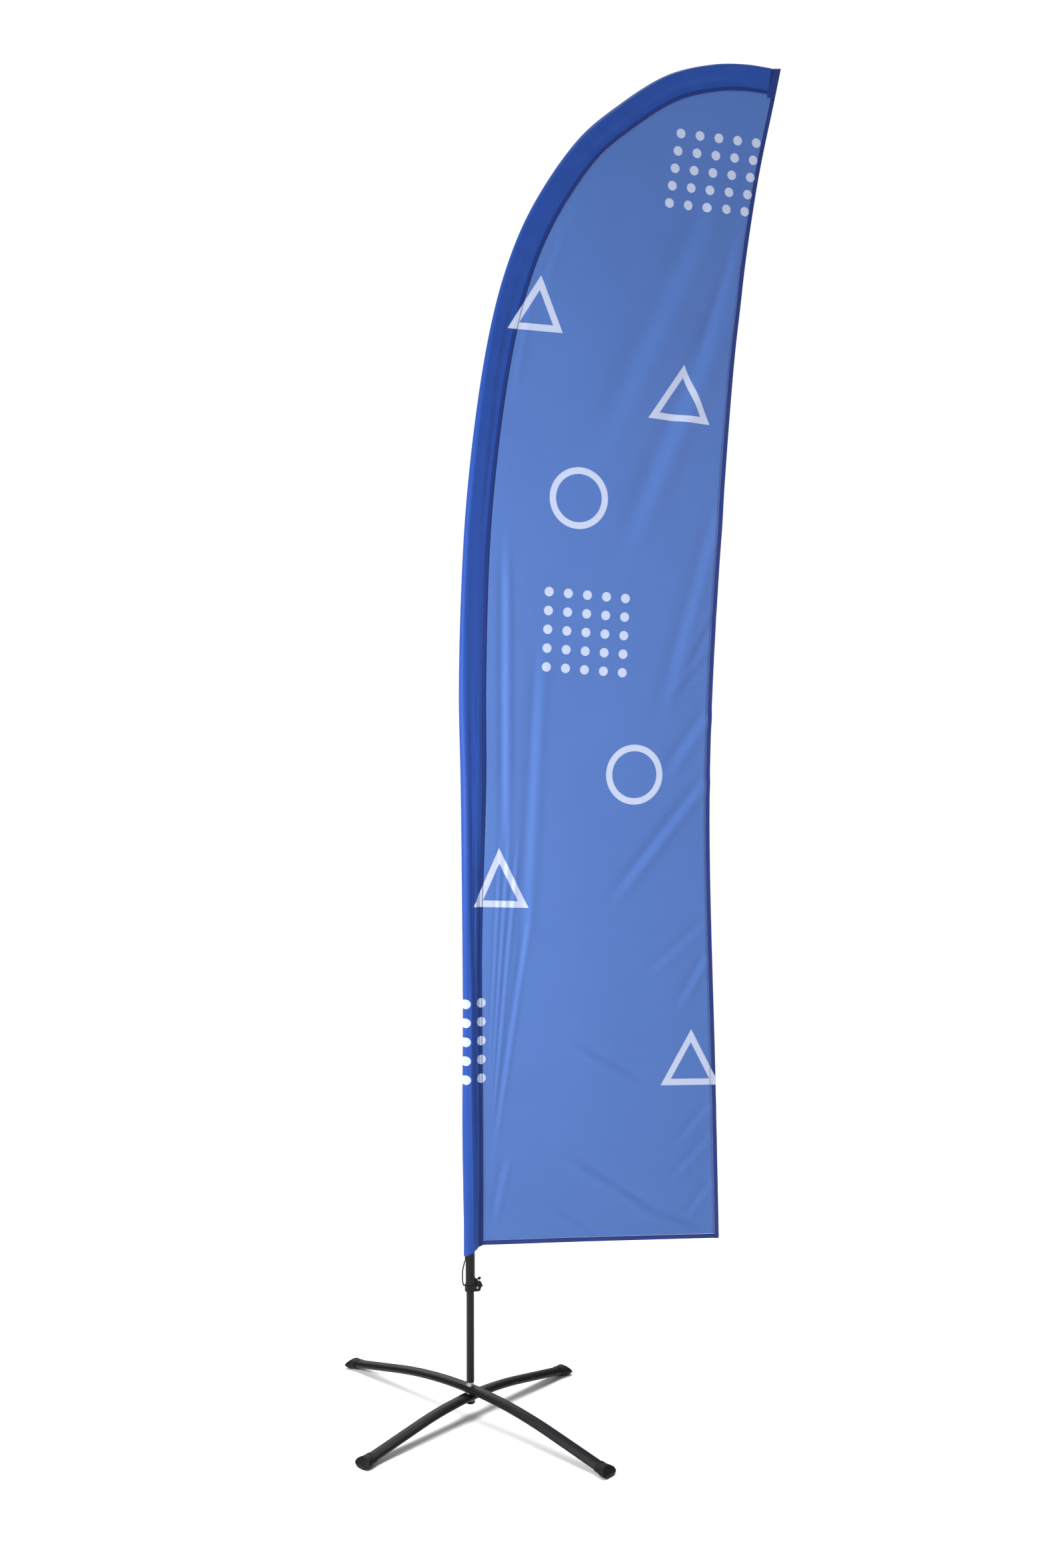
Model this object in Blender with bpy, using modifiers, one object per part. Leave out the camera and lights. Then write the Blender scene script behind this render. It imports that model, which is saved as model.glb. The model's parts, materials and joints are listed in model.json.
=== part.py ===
"""Feather flag with its pole, on a folding cross base.

Metres, +Z up. The origin is on the floor under the middle of the whole object, and the pieces are drawn round
the pole's foot, which is then set to one side of it. The flag spreads along +X in the plane y = 0.
"""

import math

import bmesh
import bpy
import numpy as np
from mathutils import Matrix, Vector

# Fits
GAP = 0.0003  # between two pieces that touch
SIDES = 16  # round tubes are drawn with this many sides
TURNED_STEPS = 24  # round turned pieces are drawn with this many steps

# Cross base: two arched tubes that cross under the post
LEG_WIDTH = 0.034  # the tubes are oval, wider than they are high
LEG_HEIGHT = 0.019
LEG_WALL = 0.0015
LEG_FLAT_HEIGHT = 0.017  # height of a tube where it is pressed flat at the hub
LEG_FLAT_REACH = 0.020  # the flats reach this far from the hub
LEG_FLAT_BLEND = 0.024  # and blend into the round tube over this length
LEG_STRAIGHT_END = 0.175  # the last stretch of each arm is straight
LEG_END_HEIGHT = 0.0115  # centre of a tube at its end, above the floor
LOWER_LEG_REACH = 0.3535
LOWER_LEG_RISE = 0.044
LOWER_LEG_ANGLE = math.radians(31.2)
UPPER_LEG_REACH = 0.444
LEG_CROSSING = math.radians(-90)  # from the lower tube to the upper tube
FOOT_CAP_LENGTH = 0.036
FOOT_CAP_END = 0.014  # the cap's toe reaches this far past the tube
FOOT_CAP_WALL = 0.0022
FOOT_CAP_FLARE = 0.0035
FOOT_CAP_BEVEL = 0.002
TOE_LIP = 0.0075  # height of the toe's upright end above the floor
TOE_SLANT = math.radians(36)  # lean of the toe's sloping face

# Hub
BOLT_RADIUS = 0.005
WASHER_THICKNESS = 0.0014
WASHER_RADIUS = 0.0105
HEX_RADIUS = 0.0098  # across the corners, halved
HEX_CHAMFER = 0.0004
BOLT_HEAD_HEIGHT = 0.0055
BOLT_SHORT_OF_INSERT = 0.004  # the bolt ends this far below the top of the post's insert
NUT_HEIGHT = 0.0072
HEAD_COVER_WALL = 0.0015

# Post that the pole stands over
POST_CLEARANCE = 0.0008  # between the post and the pole round it
POST_WALL = 0.0018
POST_TOP = 0.500
POST_INSERT_LENGTH = 0.025
PLUG_STEM = 0.022
PLUG_FLANGE = 0.003
PIN_RADIUS = 0.004
PIN_HEIGHT = 0.012
CUP_TOP = 0.003
CUP_BEVEL = 0.0008

# Pole: four sections that plug into each other inside the sleeve
POLE_BOTTOM = 0.326
POLE_RADIUS = 0.012
POLE_WALL = 0.0014
WALL_STEP = 0.0001  # each tube's wall is this much thinner than the one below
SECTION_LENGTH = 0.85
SOCKET_LENGTH = 0.080
SECTION_TAPERS = (0.0, 0.0015, 0.0010, 0.0014)  # loss of radius along each section
FERRULE_LENGTH = 0.030
FERRULE_WALL = 0.0010
STOP_PLUG_HEIGHT = 0.014
STOP_PLUG_BORE = 0.003
TIP_CAP_LENGTH = 0.014
TIP_CAP_WALL = 0.0012

# Line of the pole, in the plane of the flag
BEND_START = 1.850  # height where the pole leaves its long straight bow
BEND_LEAN = -0.0115  # how far the bow stands behind the post there
TIP_REACH = 0.788
TIP_HEIGHT = 3.4010
BEND_SHAPE = (  # shares of the reach and of the rise, from BEND_START to the tip
    (0.0193, 0.277), (0.083, 0.5256), (0.1466, 0.6527), (0.229, 0.7494), (0.3724, 0.857),
    (0.489, 0.911), (0.6594, 0.9706), (0.813, 0.9955), (0.9203, 1.0013), (1.0, 1.0),
)

# Cloth
FLAG_BOTTOM = 0.398  # free bottom corner
FLAG_WIDTH = 0.641  # pole line to the free edge at its waist
CORNER_REACH = 0.033  # the top corner stands this far past the pole's tip
CORNER_HEIGHT = 0.0095
FREE_EDGE_SHAPE = (  # shares of the flag's height and of the flare from the waist to the top corner
    (0.0, 0.172), (0.13, 0.10), (0.376, 0.0), (0.565, 0.10), (0.766, 0.328), (0.887, 0.611), (1.0, 1.0),
)
PANEL_THICKNESS = 0.0006
HEM_WIDTH = 0.012
HEM_THICKNESS = 0.0016
SLEEVE_BOTTOM = 0.416
SLEEVE_SLANT = 0.48  # rise of the sleeve's lower edge for each unit of width
SLEEVE_WALL = 0.0007
SLEEVE_EASE = 0.0024  # room round the pole
SLEEVE_WIDTH_LOW = 0.048
SLEEVE_WIDTH_HIGH = 0.066
SLEEVE_WIDENS = (1.10, 1.75)  # heights between which the band grows wider
SEAM_HALF = 0.0014  # half thickness of the sleeve where it is stitched to the panel
PATCH_HEIGHT = 0.078
PATCH_THICKNESS = 0.0034
PATCH_SHOULDER = ((0.004, 0.001), (0.0, 0.006))  # x from its left side, z below its top

# Tension cord and its anchor
COLLAR_HEIGHT = 0.017
COLLAR_WALL = 0.0016
LUG_THICKNESS = 0.008
LUG_OUTLINE = (  # x beyond the pole's surface, z above the pole's bottom
    (0.0004, -0.003), (0.0130, -0.002), (0.0160, 0.008), (0.0205, 0.009), (0.0165, 0.019),
    (0.0130, 0.024), (0.0118, 0.0205), (0.0030, 0.0300), (0.0004, 0.0330),
)
SCREW_POINT = (0.0050, 0.0075)  # x beyond the pole's surface, z above the pole's bottom
SCREW_HEAD_RADIUS = 0.0032
SCREW_HEAD_HEIGHT = 0.0022
SCREW_RADIUS = 0.0015
SCREW_LENGTH = 0.006
TAB_WIDTH = 0.007
TAB_THICKNESS = 0.0011
TAB_LENGTH = 0.040
TAB_TAIL = 0.012  # the tab hangs this far out of the sleeve
CORD_RADIUS = 0.0018
KNOT_RADIUS = 0.0046
CORD_ROUTE = (  # from the tab, down beside the pole, round the back of the collar and up into the lug's notch
    (-0.0142, 0.0, 0.4035), (-0.0160, 0.0, 0.395), (-0.0192, 0.0, 0.381), (-0.0203, 0.0, 0.368),
    (-0.0198, 0.0006, 0.356), (-0.0178, 0.0036, 0.3455), (-0.0142, 0.0090, 0.3380), (-0.0078, 0.0148, 0.3345),
    (0.0, 0.0168, 0.3350), (0.0080, 0.0148, 0.3375), (0.0138, 0.0116, 0.3425), (0.0188, 0.0086, 0.3496),
    (0.0216, 0.0046, 0.3526),
)

# Values worked out from the sizes above
LOWER_HUB = LEG_END_HEIGHT + LOWER_LEG_RISE
PIVOT_WASHER_BOTTOM = LOWER_HUB + LEG_FLAT_HEIGHT / 2 + GAP
UPPER_HUB = PIVOT_WASHER_BOTTOM + WASHER_THICKNESS + GAP + LEG_FLAT_HEIGHT / 2
TOP_WASHER_BOTTOM = UPPER_HUB + LEG_FLAT_HEIGHT / 2 + GAP
NUT_BOTTOM = TOP_WASHER_BOTTOM + WASHER_THICKNESS + GAP
POST_BOTTOM = NUT_BOTTOM + NUT_HEIGHT + GAP
LOWER_WASHER_BOTTOM = LOWER_HUB - LEG_FLAT_HEIGHT / 2 - GAP - WASHER_THICKNESS
HEAD_BOTTOM = LOWER_WASHER_BOTTOM - GAP - BOLT_HEAD_HEIGHT
PLUG_BOTTOM = POST_TOP + GAP
POST_RADIUS = POLE_RADIUS - POLE_WALL - POST_CLEARANCE
CUP_BOTTOM = PLUG_BOTTOM + PLUG_FLANGE + GAP
STOP_BOTTOM = CUP_BOTTOM + PIN_HEIGHT + CUP_TOP + GAP
FLAT_SHARE = math.cos(math.pi / SIDES)  # centre to the middle of a side, as a share of centre to a corner
UPPER_LEG_ANGLE = LOWER_LEG_ANGLE + LEG_CROSSING
OVAL = LEG_HEIGHT / LEG_WIDTH
TIP_CROWN = GAP + 2 * TIP_CAP_WALL  # the tip cap stands this far past the end of the pole
LOWER_LEG_END = LOWER_LEG_REACH + FOOT_CAP_END
FOOT_SPAN = LOWER_LEG_END * math.cos(LOWER_LEG_ANGLE) + LEG_WIDTH / 2 * math.sin(LOWER_LEG_ANGLE)
STAND_X = round((FOOT_SPAN - TIP_REACH - CORNER_REACH) / 2, 4)  # the pole's foot, seen from the middle

BLACK_STEEL = ((0.018, 0.019, 0.021, 1), 0.42, 0.6)
BLACK_PLASTIC = ((0.016, 0.016, 0.017, 1), 0.55, 0.0)
ZINC = ((0.62, 0.63, 0.65, 1), 0.3, 1.0)
NYLON = ((0.72, 0.71, 0.66, 1), 0.5, 0.0)
FIBREGLASS = ((0.035, 0.035, 0.038, 1), 0.4, 0.0)
BRIGHT_METAL = ((0.70, 0.71, 0.72, 1), 0.35, 1.0)
DARK_CLOTH = ((0.045, 0.11, 0.38, 1), 0.65, 0.0)
LIGHT_CLOTH = ((0.13, 0.22, 0.58, 1), 0.6, 0.0)
ELASTIC = ((0.02, 0.02, 0.022, 1), 0.8, 0.0)


def clear_scene():
    for obj in list(bpy.data.objects):
        bpy.data.objects.remove(obj)


def new_collection(name):
    collection = bpy.data.collections.new(name)
    bpy.context.scene.collection.children.link(collection)
    return collection


def finish(obj, look):
    """Give the object a material of its own with this colour, roughness and metallic value."""
    colour, roughness, metallic = look
    material = bpy.data.materials.new(obj.name + "_finish")
    material.use_nodes = True
    shader = material.node_tree.nodes["Principled BSDF"]
    shader.inputs["Base Color"].default_value = colour
    shader.inputs["Roughness"].default_value = roughness
    shader.inputs["Metallic"].default_value = metallic
    obj.data.materials.clear()
    obj.data.materials.append(material)
    return obj


def place(name, data, look):
    obj = bpy.data.objects.new(name, data)
    PARTS.objects.link(obj)
    return finish(obj, look)


def cutter(name, data):
    obj = bpy.data.objects.new(name, data)
    obj.hide_render = True
    obj.display_type = "WIRE"
    CUTTERS.objects.link(obj)
    return obj


def shade(mesh):
    mesh.shade_smooth()
    mesh.set_sharp_from_angle(angle=math.radians(35))
    return mesh


def mesh_from(bm, name):
    mesh = bpy.data.meshes.new(name)
    bm.to_mesh(mesh)
    bm.free()
    return mesh


def boolean(obj, tool, operation="DIFFERENCE"):
    modifier = obj.modifiers.new(operation.lower(), "BOOLEAN")
    modifier.operation = operation
    modifier.object = tool
    modifier.solver = "EXACT"


def turned(name, profile, look, height=0.0, steps=TURNED_STEPS):
    """A turned piece: the closed profile of (radius, z) runs down its outer side, top to bottom."""
    bm = bmesh.new()
    verts = [bm.verts.new((radius, 0, z)) for radius, z in profile]
    for a, b in zip(verts, verts[1:]):
        bm.edges.new((a, b))
    if profile[0][0] > 0:
        bm.edges.new((verts[-1], verts[0]))
    obj = place(name, mesh_from(bm, name), look)
    obj.location.z = height
    spin = obj.modifiers.new("turn", "SCREW")
    spin.steps = spin.render_steps = steps
    spin.use_merge_vertices = True
    spin.merge_threshold = 0.00001
    spin.use_smooth_shade = True
    return obj


def ring_profile(inner, outer, bottom, top, bevel=0.0003):
    return (
        (inner, top), (outer - bevel, top), (outer, top - bevel),
        (outer, bottom + bevel), (outer - bevel, bottom), (inner, bottom),
    )


def cylinder_mesh(name, radius, bottom, top, segments=TURNED_STEPS):
    bm = bmesh.new()
    centre = Matrix.Translation((0, 0, (bottom + top) / 2))
    bmesh.ops.create_cone(
        bm, cap_ends=True, segments=segments, radius1=radius, radius2=radius, depth=top - bottom, matrix=centre
    )
    return mesh_from(bm, name)


def round_curve(name, points, radii, sides=SIDES):
    """A round curve through the points, with a radius at each."""
    curve = bpy.data.curves.new(name, "CURVE")
    curve.dimensions = "3D"
    curve.bevel_depth = 1.0
    curve.bevel_resolution = (sides - 4) // 2
    curve.resolution_u = 1
    spline = curve.splines.new("POLY")
    spline.points.add(len(points) - 1)
    for point, co, radius in zip(spline.points, points, radii):
        point.co = (*co, 1)
        point.radius = radius
    return curve


def rod(name, points, radii, look, sides=SIDES):
    """A solid round rod along the points."""
    curve = round_curve(name, points, radii, sides)
    curve.use_fill_caps = True
    return place(name, curve, look)


def skin_mesh(name, curve, turn=0.0):
    """The curve as a welded mesh, turned about X."""
    guide = bpy.data.objects.new(name, curve)
    CUTTERS.objects.link(guide)
    depsgraph = bpy.context.evaluated_depsgraph_get()
    depsgraph.update()
    mesh = bpy.data.meshes.new_from_object(guide.evaluated_get(depsgraph))
    bpy.data.objects.remove(guide)
    bm = bmesh.new()
    bm.from_mesh(mesh)
    bmesh.ops.remove_doubles(bm, verts=bm.verts, dist=0.00001)
    bmesh.ops.rotate(bm, verts=bm.verts, matrix=Matrix.Rotation(turn, 3, "X"))
    bm.to_mesh(mesh)
    bm.free()
    return mesh


def tube(name, points, radii, wall, look):
    """A round tube along the points, open at both ends."""
    obj = place(name, shade(skin_mesh(name, round_curve(name, points, radii))), look)
    return hollow(obj, wall)


def hollow(obj, wall):
    solidify = obj.modifiers.new("wall", "SOLIDIFY")
    solidify.thickness = wall
    solidify.offset = -1
    solidify.use_even_offset = True
    return obj


# Cross base


def arm_height(distance, hub, reach):
    """Centre height of a leg tube at a distance from the hub: an arch that ends in a straight stretch."""
    arc = reach - LEG_STRAIGHT_END
    slope = (hub - LEG_END_HEIGHT) / (reach - arc / 2)
    if distance < arc:
        return hub - slope * distance**2 / (2 * arc)
    return hub - slope * (distance - arc / 2)


def arm_slope(distance, hub, reach):
    """Fall of the tube's centre line for each unit outwards."""
    arc = reach - LEG_STRAIGHT_END
    return (hub - LEG_END_HEIGHT) / (reach - arc / 2) * min(distance / arc, 1)


def press_oval(mesh, hub, reach):
    """Press the round tube to its oval section, and to flats above and below at the hub."""
    for vert in mesh.vertices:
        away = abs(vert.co.x)
        middle = arm_height(away, hub, reach)
        lean = math.atan(arm_slope(away, hub, reach))
        press = (vert.co.z - middle) * math.cos(lean) * (OVAL - 1)
        vert.co.x += math.copysign(math.sin(lean), vert.co.x) * press
        vert.co.z += math.cos(lean) * press
        share = min(max((away - LEG_FLAT_REACH) / LEG_FLAT_BLEND, 0), 1)
        share = share * share * (3 - 2 * share)
        limit = LEG_FLAT_HEIGHT / 2 + share * (LEG_HEIGHT - LEG_FLAT_HEIGHT) / 2
        middle = hub + share * (middle - hub)
        if share < 1:
            vert.co.z = min(max(vert.co.z, middle - limit), middle + limit)


def leg_tube(name, reach, hub, angle, parent=None):
    """One arched oval tube, drilled for the bolt through its flats."""
    blend_stops = [LEG_FLAT_REACH + LEG_FLAT_BLEND * share for share in (0, 1 / 3, 2 / 3)]
    arch_stops = list(np.linspace(LEG_FLAT_REACH + LEG_FLAT_BLEND, reach - LEG_STRAIGHT_END, 6))
    stops = [0.0] + blend_stops + arch_stops + [reach]
    distances = [-d for d in reversed(stops[1:])] + stops
    points = [(d, 0, arm_height(abs(d), hub, reach)) for d in distances]
    obj = tube(name, points, [LEG_WIDTH / 2] * len(points), LEG_WALL, BLACK_STEEL)
    press_oval(obj.data, hub, reach)
    boolean(obj, bolt_drill)
    obj.rotation_euler.z = angle
    attach(obj, parent)
    return obj


def toe_cutter(name, place_of_end):
    """A block that takes the top off the cap's toe on a slope."""
    size = 3 * FOOT_CAP_LENGTH
    bm = bmesh.new()
    corner = Matrix.Translation((FOOT_CAP_END, 0, TOE_LIP - LEG_END_HEIGHT))
    block = Matrix.Translation((size / 2, 0, 0)) @ Matrix.Diagonal((size, size, size, 1))
    bmesh.ops.create_cube(bm, size=1, matrix=corner @ Matrix.Rotation(-TOE_SLANT, 4, "Y") @ block)
    block = cutter(f"{name}_toe", mesh_from(bm, f"{name}_toe"))
    block.matrix_world = place_of_end
    return block


def foot_cap(name, reach, hub, angle, parent=None):
    """A flared oval cap over one end of a leg tube, with a flat sole on the floor and a sloping toe."""
    bore = (LEG_HEIGHT / 2 + GAP) / OVAL
    stem = (LEG_HEIGHT / 2 - LEG_WALL / FLAT_SHARE - GAP) / OVAL
    outer = bore + FOOT_CAP_WALL
    rim = outer + FOOT_CAP_FLARE
    end = FOOT_CAP_END
    mouth = end - FOOT_CAP_LENGTH
    profile = (
        (0, end), (rim - FOOT_CAP_BEVEL, end), (rim, end - FOOT_CAP_BEVEL), (rim, 0.001),
        (outer + FOOT_CAP_FLARE * 0.75, -0.004), (outer + FOOT_CAP_FLARE * 0.3, -0.009),
        (outer, -0.014), (outer, mouth + 0.001), (outer - 0.0008, mouth),
        (bore, mouth), (bore, GAP), (stem, GAP), (stem - 0.0006, mouth), (0, mouth),
    )
    obj = turned(name, profile, BLACK_PLASTIC)
    lean = math.atan(arm_slope(reach, hub, reach))
    out = Matrix.Rotation(angle, 4, "Z") @ Matrix.Translation((reach, 0, LEG_END_HEIGHT))
    oval = Matrix.Diagonal((OVAL, 1, 1, 1))
    obj.matrix_world = out @ Matrix.Rotation(math.pi / 2 + lean, 4, "Y") @ oval
    boolean(obj, floor_cutter)
    boolean(obj, toe_cutter(name, out))
    attach(obj, parent)
    return obj


def hex_piece(name, bottom, height, look):
    """A six-sided piece with its edges broken."""
    obj = place(name, cylinder_mesh(name, HEX_RADIUS, bottom, bottom + height, segments=6), look)
    chamfer = obj.modifiers.new("chamfer", "BEVEL")
    chamfer.width = HEX_CHAMFER
    chamfer.segments = 1
    chamfer.limit_method = "ANGLE"
    chamfer.angle_limit = math.radians(50)
    return obj


def hub_pieces():
    """Bolt, washers, lock nut and the cover over the bolt's head."""
    washers = (
        ("hub_lower_washer", LOWER_WASHER_BOTTOM, ZINC),
        ("hub_pivot_washer", PIVOT_WASHER_BOTTOM, NYLON),
        ("hub_top_washer", TOP_WASHER_BOTTOM, ZINC),
    )
    for name, bottom, look in washers:
        profile = ring_profile(BOLT_RADIUS + GAP, WASHER_RADIUS, 0, WASHER_THICKNESS)
        turned(name, profile, look, height=bottom)
    boolean(hex_piece("hub_lock_nut", NUT_BOTTOM, NUT_HEIGHT, ZINC), bolt_drill)
    shank_bottom = HEAD_BOTTOM + BOLT_HEAD_HEIGHT / 2
    shank_top = POST_BOTTOM + POST_INSERT_LENGTH - BOLT_SHORT_OF_INSERT
    shank = cutter("bolt_shank", cylinder_mesh("bolt_shank", BOLT_RADIUS, shank_bottom, shank_top))
    boolean(hex_piece("hub_bolt", HEAD_BOTTOM, BOLT_HEAD_HEIGHT, ZINC), shank, "UNION")
    cavity = HEX_RADIUS + GAP
    outer = cavity + HEAD_COVER_WALL
    top = HEAD_BOTTOM + BOLT_HEAD_HEIGHT
    floor = HEAD_BOTTOM - GAP
    cover = (
        (cavity, top), (outer - 0.0004, top), (outer, top - 0.0004), (outer, floor + 0.001),
        (outer - 0.0012, floor - 0.0012), (outer - 0.004, floor - 0.0022), (0, floor - 0.0026),
        (0, floor), (cavity, floor),
    )
    turned_cup("bolt_head_cover", cover, BLACK_PLASTIC)


def turned_cup(name, profile, look, height=0.0):
    """A turned piece whose closed profile meets the axis at two neighbouring points."""
    first = next(i for i, point in enumerate(profile) if point[0] == 0)
    return turned(name, profile[first + 1:] + profile[:first + 1], look, height)


def post_pieces():
    """The post with the threaded insert in its foot and the bearing plug in its top."""
    bore = POST_RADIUS - POST_WALL
    turned("post", ring_profile(bore, POST_RADIUS, POST_BOTTOM, POST_TOP), BLACK_STEEL)
    insert = ring_profile(BOLT_RADIUS + GAP, bore - GAP, 0, POST_INSERT_LENGTH)
    turned("post_foot_insert", insert, BRIGHT_METAL, height=POST_BOTTOM)
    pin_top = PLUG_FLANGE + PIN_HEIGHT
    plug = (
        (0, pin_top), (PIN_RADIUS - 0.001, pin_top), (PIN_RADIUS, pin_top - 0.001), (PIN_RADIUS, PLUG_FLANGE),
        (POST_RADIUS, PLUG_FLANGE), (POST_RADIUS, 0), (bore - GAP, 0), (bore - GAP, -PLUG_STEM + 0.001),
        (bore - GAP - 0.001, -PLUG_STEM), (0, -PLUG_STEM),
    )
    turned("post_top_plug", plug, BLACK_PLASTIC, height=PLUG_BOTTOM)


def swivel_cup():
    """The bearing cup that turns on the post's pin and carries the pole."""
    top = PIN_HEIGHT + CUP_TOP
    bore = PIN_RADIUS + GAP
    profile = (
        (0, top), (POST_RADIUS - CUP_BEVEL, top), (POST_RADIUS, top - CUP_BEVEL), (POST_RADIUS, CUP_BEVEL),
        (POST_RADIUS - CUP_BEVEL, 0), (bore, 0), (bore, PIN_HEIGHT), (0, PIN_HEIGHT),
    )
    cup = turned("swivel_cup", profile, NYLON, height=CUP_BOTTOM)
    attach(cup, spin_axis)


# Line of the pole


def smooth_line(points, per_span=24):
    """A centripetal Catmull-Rom line through the points."""
    points = np.array(points, dtype=float)
    ends = np.vstack([2 * points[0] - points[1], points, 2 * points[-1] - points[-2]])
    line = []
    for p0, p1, p2, p3 in zip(ends, ends[1:], ends[2:], ends[3:]):
        t1 = np.linalg.norm(p1 - p0) ** 0.5
        t2 = t1 + np.linalg.norm(p2 - p1) ** 0.5
        t3 = t2 + np.linalg.norm(p3 - p2) ** 0.5
        for t in np.linspace(t1, t2, per_span, endpoint=False):
            a1 = p0 * (t1 - t) / t1 + p1 * t / t1
            a2 = p1 * (t2 - t) / (t2 - t1) + p2 * (t - t1) / (t2 - t1)
            a3 = p2 * (t3 - t) / (t3 - t2) + p3 * (t - t2) / (t3 - t2)
            b1 = a1 * (t2 - t) / t2 + a2 * t / t2
            b2 = a2 * (t3 - t) / (t3 - t1) + a3 * (t - t1) / (t3 - t1)
            line.append(b1 * (t2 - t) / (t2 - t1) + b2 * (t - t1) / (t2 - t1))
    line.append(points[-1])
    return np.array(line)


class Line:
    """A smooth line that can be read at any length along it."""

    def __init__(self, points):
        self.points = smooth_line(points)
        steps = np.linalg.norm(np.diff(self.points, axis=0), axis=1)
        self.lengths = np.concatenate([[0], np.cumsum(steps)])
        self.total = self.lengths[-1]

    def at(self, length):
        return np.array([np.interp(length, self.lengths, column) for column in self.points.T])

    def along(self, length):
        ahead = self.at(min(length + 0.004, self.total)) - self.at(max(length - 0.004, 0))
        return ahead / np.linalg.norm(ahead)

    def length_at(self, height):
        """Length at which the line first reaches this height."""
        return float(np.interp(height, self.points[:, 1], self.lengths))


def pole_line():
    """(x, z) of the pole's centre: straight over the post, a long shallow bow, then the bend to the tip."""
    straight = [(0, POLE_BOTTOM), (0, (POLE_BOTTOM + POST_TOP) / 2), (0, POST_TOP + 0.06), (0, POST_TOP + 0.12)]
    bow = [(BEND_LEAN * 0.27, BEND_START - 0.75), (BEND_LEAN * 0.72, BEND_START - 0.27), (BEND_LEAN, BEND_START)]
    rise = TIP_HEIGHT - BEND_START
    reach = TIP_REACH - BEND_LEAN
    bend = [(BEND_LEAN + x * reach, BEND_START + z * rise) for x, z in BEND_SHAPE]
    return Line(straight + bow + bend)


def section_ends():
    """Lengths along the pole where each section starts and stops, sockets included."""
    joints = [SECTION_LENGTH * n for n in (1, 2, 3)]
    starts = [0.0] + [joint - SOCKET_LENGTH for joint in joints]
    return list(zip(starts, joints + [POLE.total]))


def section_wall(number):
    return POLE_WALL - WALL_STEP * (number - 1)


def section_radii():
    """Outer radius of each section at its start and its stop: each plugs into the one below."""
    radii = []
    start = POLE_RADIUS
    for number, taper in enumerate(SECTION_TAPERS, 1):
        stop = start - taper
        radii.append((start, stop))
        start = stop - (section_wall(number) + GAP) / FLAT_SHARE
    return radii


def pole_radius(length):
    """Outer radius of the pole at this length, of the socket where two sections overlap."""
    length = min(max(length, 0), POLE.total)
    for ends, radii in zip(section_ends(), section_radii()):
        if length <= ends[1]:
            return float(np.interp(length, ends, radii))


def pole_stations():
    """Lengths where the tubes are drawn, close together in the bend. Pieces that nest share them."""
    bend = POLE.length_at(BEND_START)
    lengths = list(np.linspace(0, bend, 14)) + list(np.linspace(bend, POLE.total, 36))
    marks = [mark for ends in section_ends() for mark in ends]
    marks += [end - FERRULE_LENGTH for end in marks[1::2]]
    spread = [length for length in lengths if min(abs(length - mark) for mark in marks) > 0.012]
    return sorted(set(marks + spread))


def stretch(begin, end):
    """The stations from one length to another, and the pole's points there."""
    lengths = [length for length in pole_stations() if begin <= length <= end]
    return lengths, [in_flag_plane(POLE.at(length)) for length in lengths]


def in_flag_plane(point):
    return (point[0], 0, point[1])


def pole_sections():
    """Three tubes and a solid top section."""
    for number, (ends, radii) in enumerate(zip(section_ends(), section_radii()), 1):
        lengths, points = stretch(*ends)
        sizes = np.interp(lengths, ends, radii)
        name = f"pole_section_{number}"
        look = BLACK_STEEL if number == 1 else FIBREGLASS
        if number < len(SECTION_TAPERS):
            obj = tube(name, points, sizes, section_wall(number), look)
        else:
            obj = rod(name, points, sizes, look)
        attach(obj, lift_axis)


def pole_ferrules():
    """Metal rings round the mouths of the two fibreglass sockets."""
    for number in (2, 3):
        mouth = section_ends()[number - 1][1]
        lengths, points = stretch(mouth - FERRULE_LENGTH, mouth)
        sizes = [pole_radius(length) + (GAP + FERRULE_WALL) / FLAT_SHARE for length in lengths]
        attach(tube(f"pole_ferrule_{number}", points, sizes, FERRULE_WALL, BRIGHT_METAL), lift_axis)


def aim_along(obj, length):
    """Set a turned piece on the pole's line, its own +Z along the pole."""
    x, z = POLE.at(length)
    direction = POLE.along(length)
    turn = Vector((0, 0, 1)).rotation_difference(Vector((direction[0], 0, direction[1])))
    obj.matrix_world = Matrix.Translation((x, 0, z)) @ turn.to_matrix().to_4x4()


def pole_end_pieces():
    """The plug that rests on the swivel cup, and the cap on the pole's thin tip."""
    bore = POLE_RADIUS * FLAT_SHARE - POLE_WALL - GAP
    plug = ring_profile(STOP_PLUG_BORE, bore, 0, STOP_PLUG_HEIGHT, bevel=0.0008)
    attach(turned("pole_stop_plug", plug, BLACK_PLASTIC, height=STOP_BOTTOM), lift_axis)
    rod_end = section_radii()[-1][1]
    inner = rod_end + GAP
    outer = inner + TIP_CAP_WALL
    mouth = GAP - TIP_CAP_LENGTH
    profile = (
        (0, TIP_CROWN), (outer * 0.5, TIP_CROWN - 0.0004), (outer * 0.87, TIP_CROWN - 0.0018),
        (outer, TIP_CROWN - 0.0037), (outer, mouth), (inner, mouth), (inner, GAP), (0, GAP),
    )
    cap = turned("pole_tip_cap", profile, BLACK_PLASTIC)
    aim_along(cap, POLE.total)
    attach(cap, lift_axis)


# Cloth


def sleeve_bore(length):
    """Inner radius of the sleeve round the pole, eased over each step of the pole."""
    near = [pole_radius(length + offset) for offset in (-0.06, -0.03, 0.0)]
    return max(near) + FERRULE_WALL * 0.5 + SLEEVE_EASE


def band_width(height):
    low, high = SLEEVE_WIDENS
    share = min(max((height - low) / (high - low), 0), 1)
    share = share * share * (3 - 2 * share)
    return SLEEVE_WIDTH_LOW + share * (SLEEVE_WIDTH_HIGH - SLEEVE_WIDTH_LOW)


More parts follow.
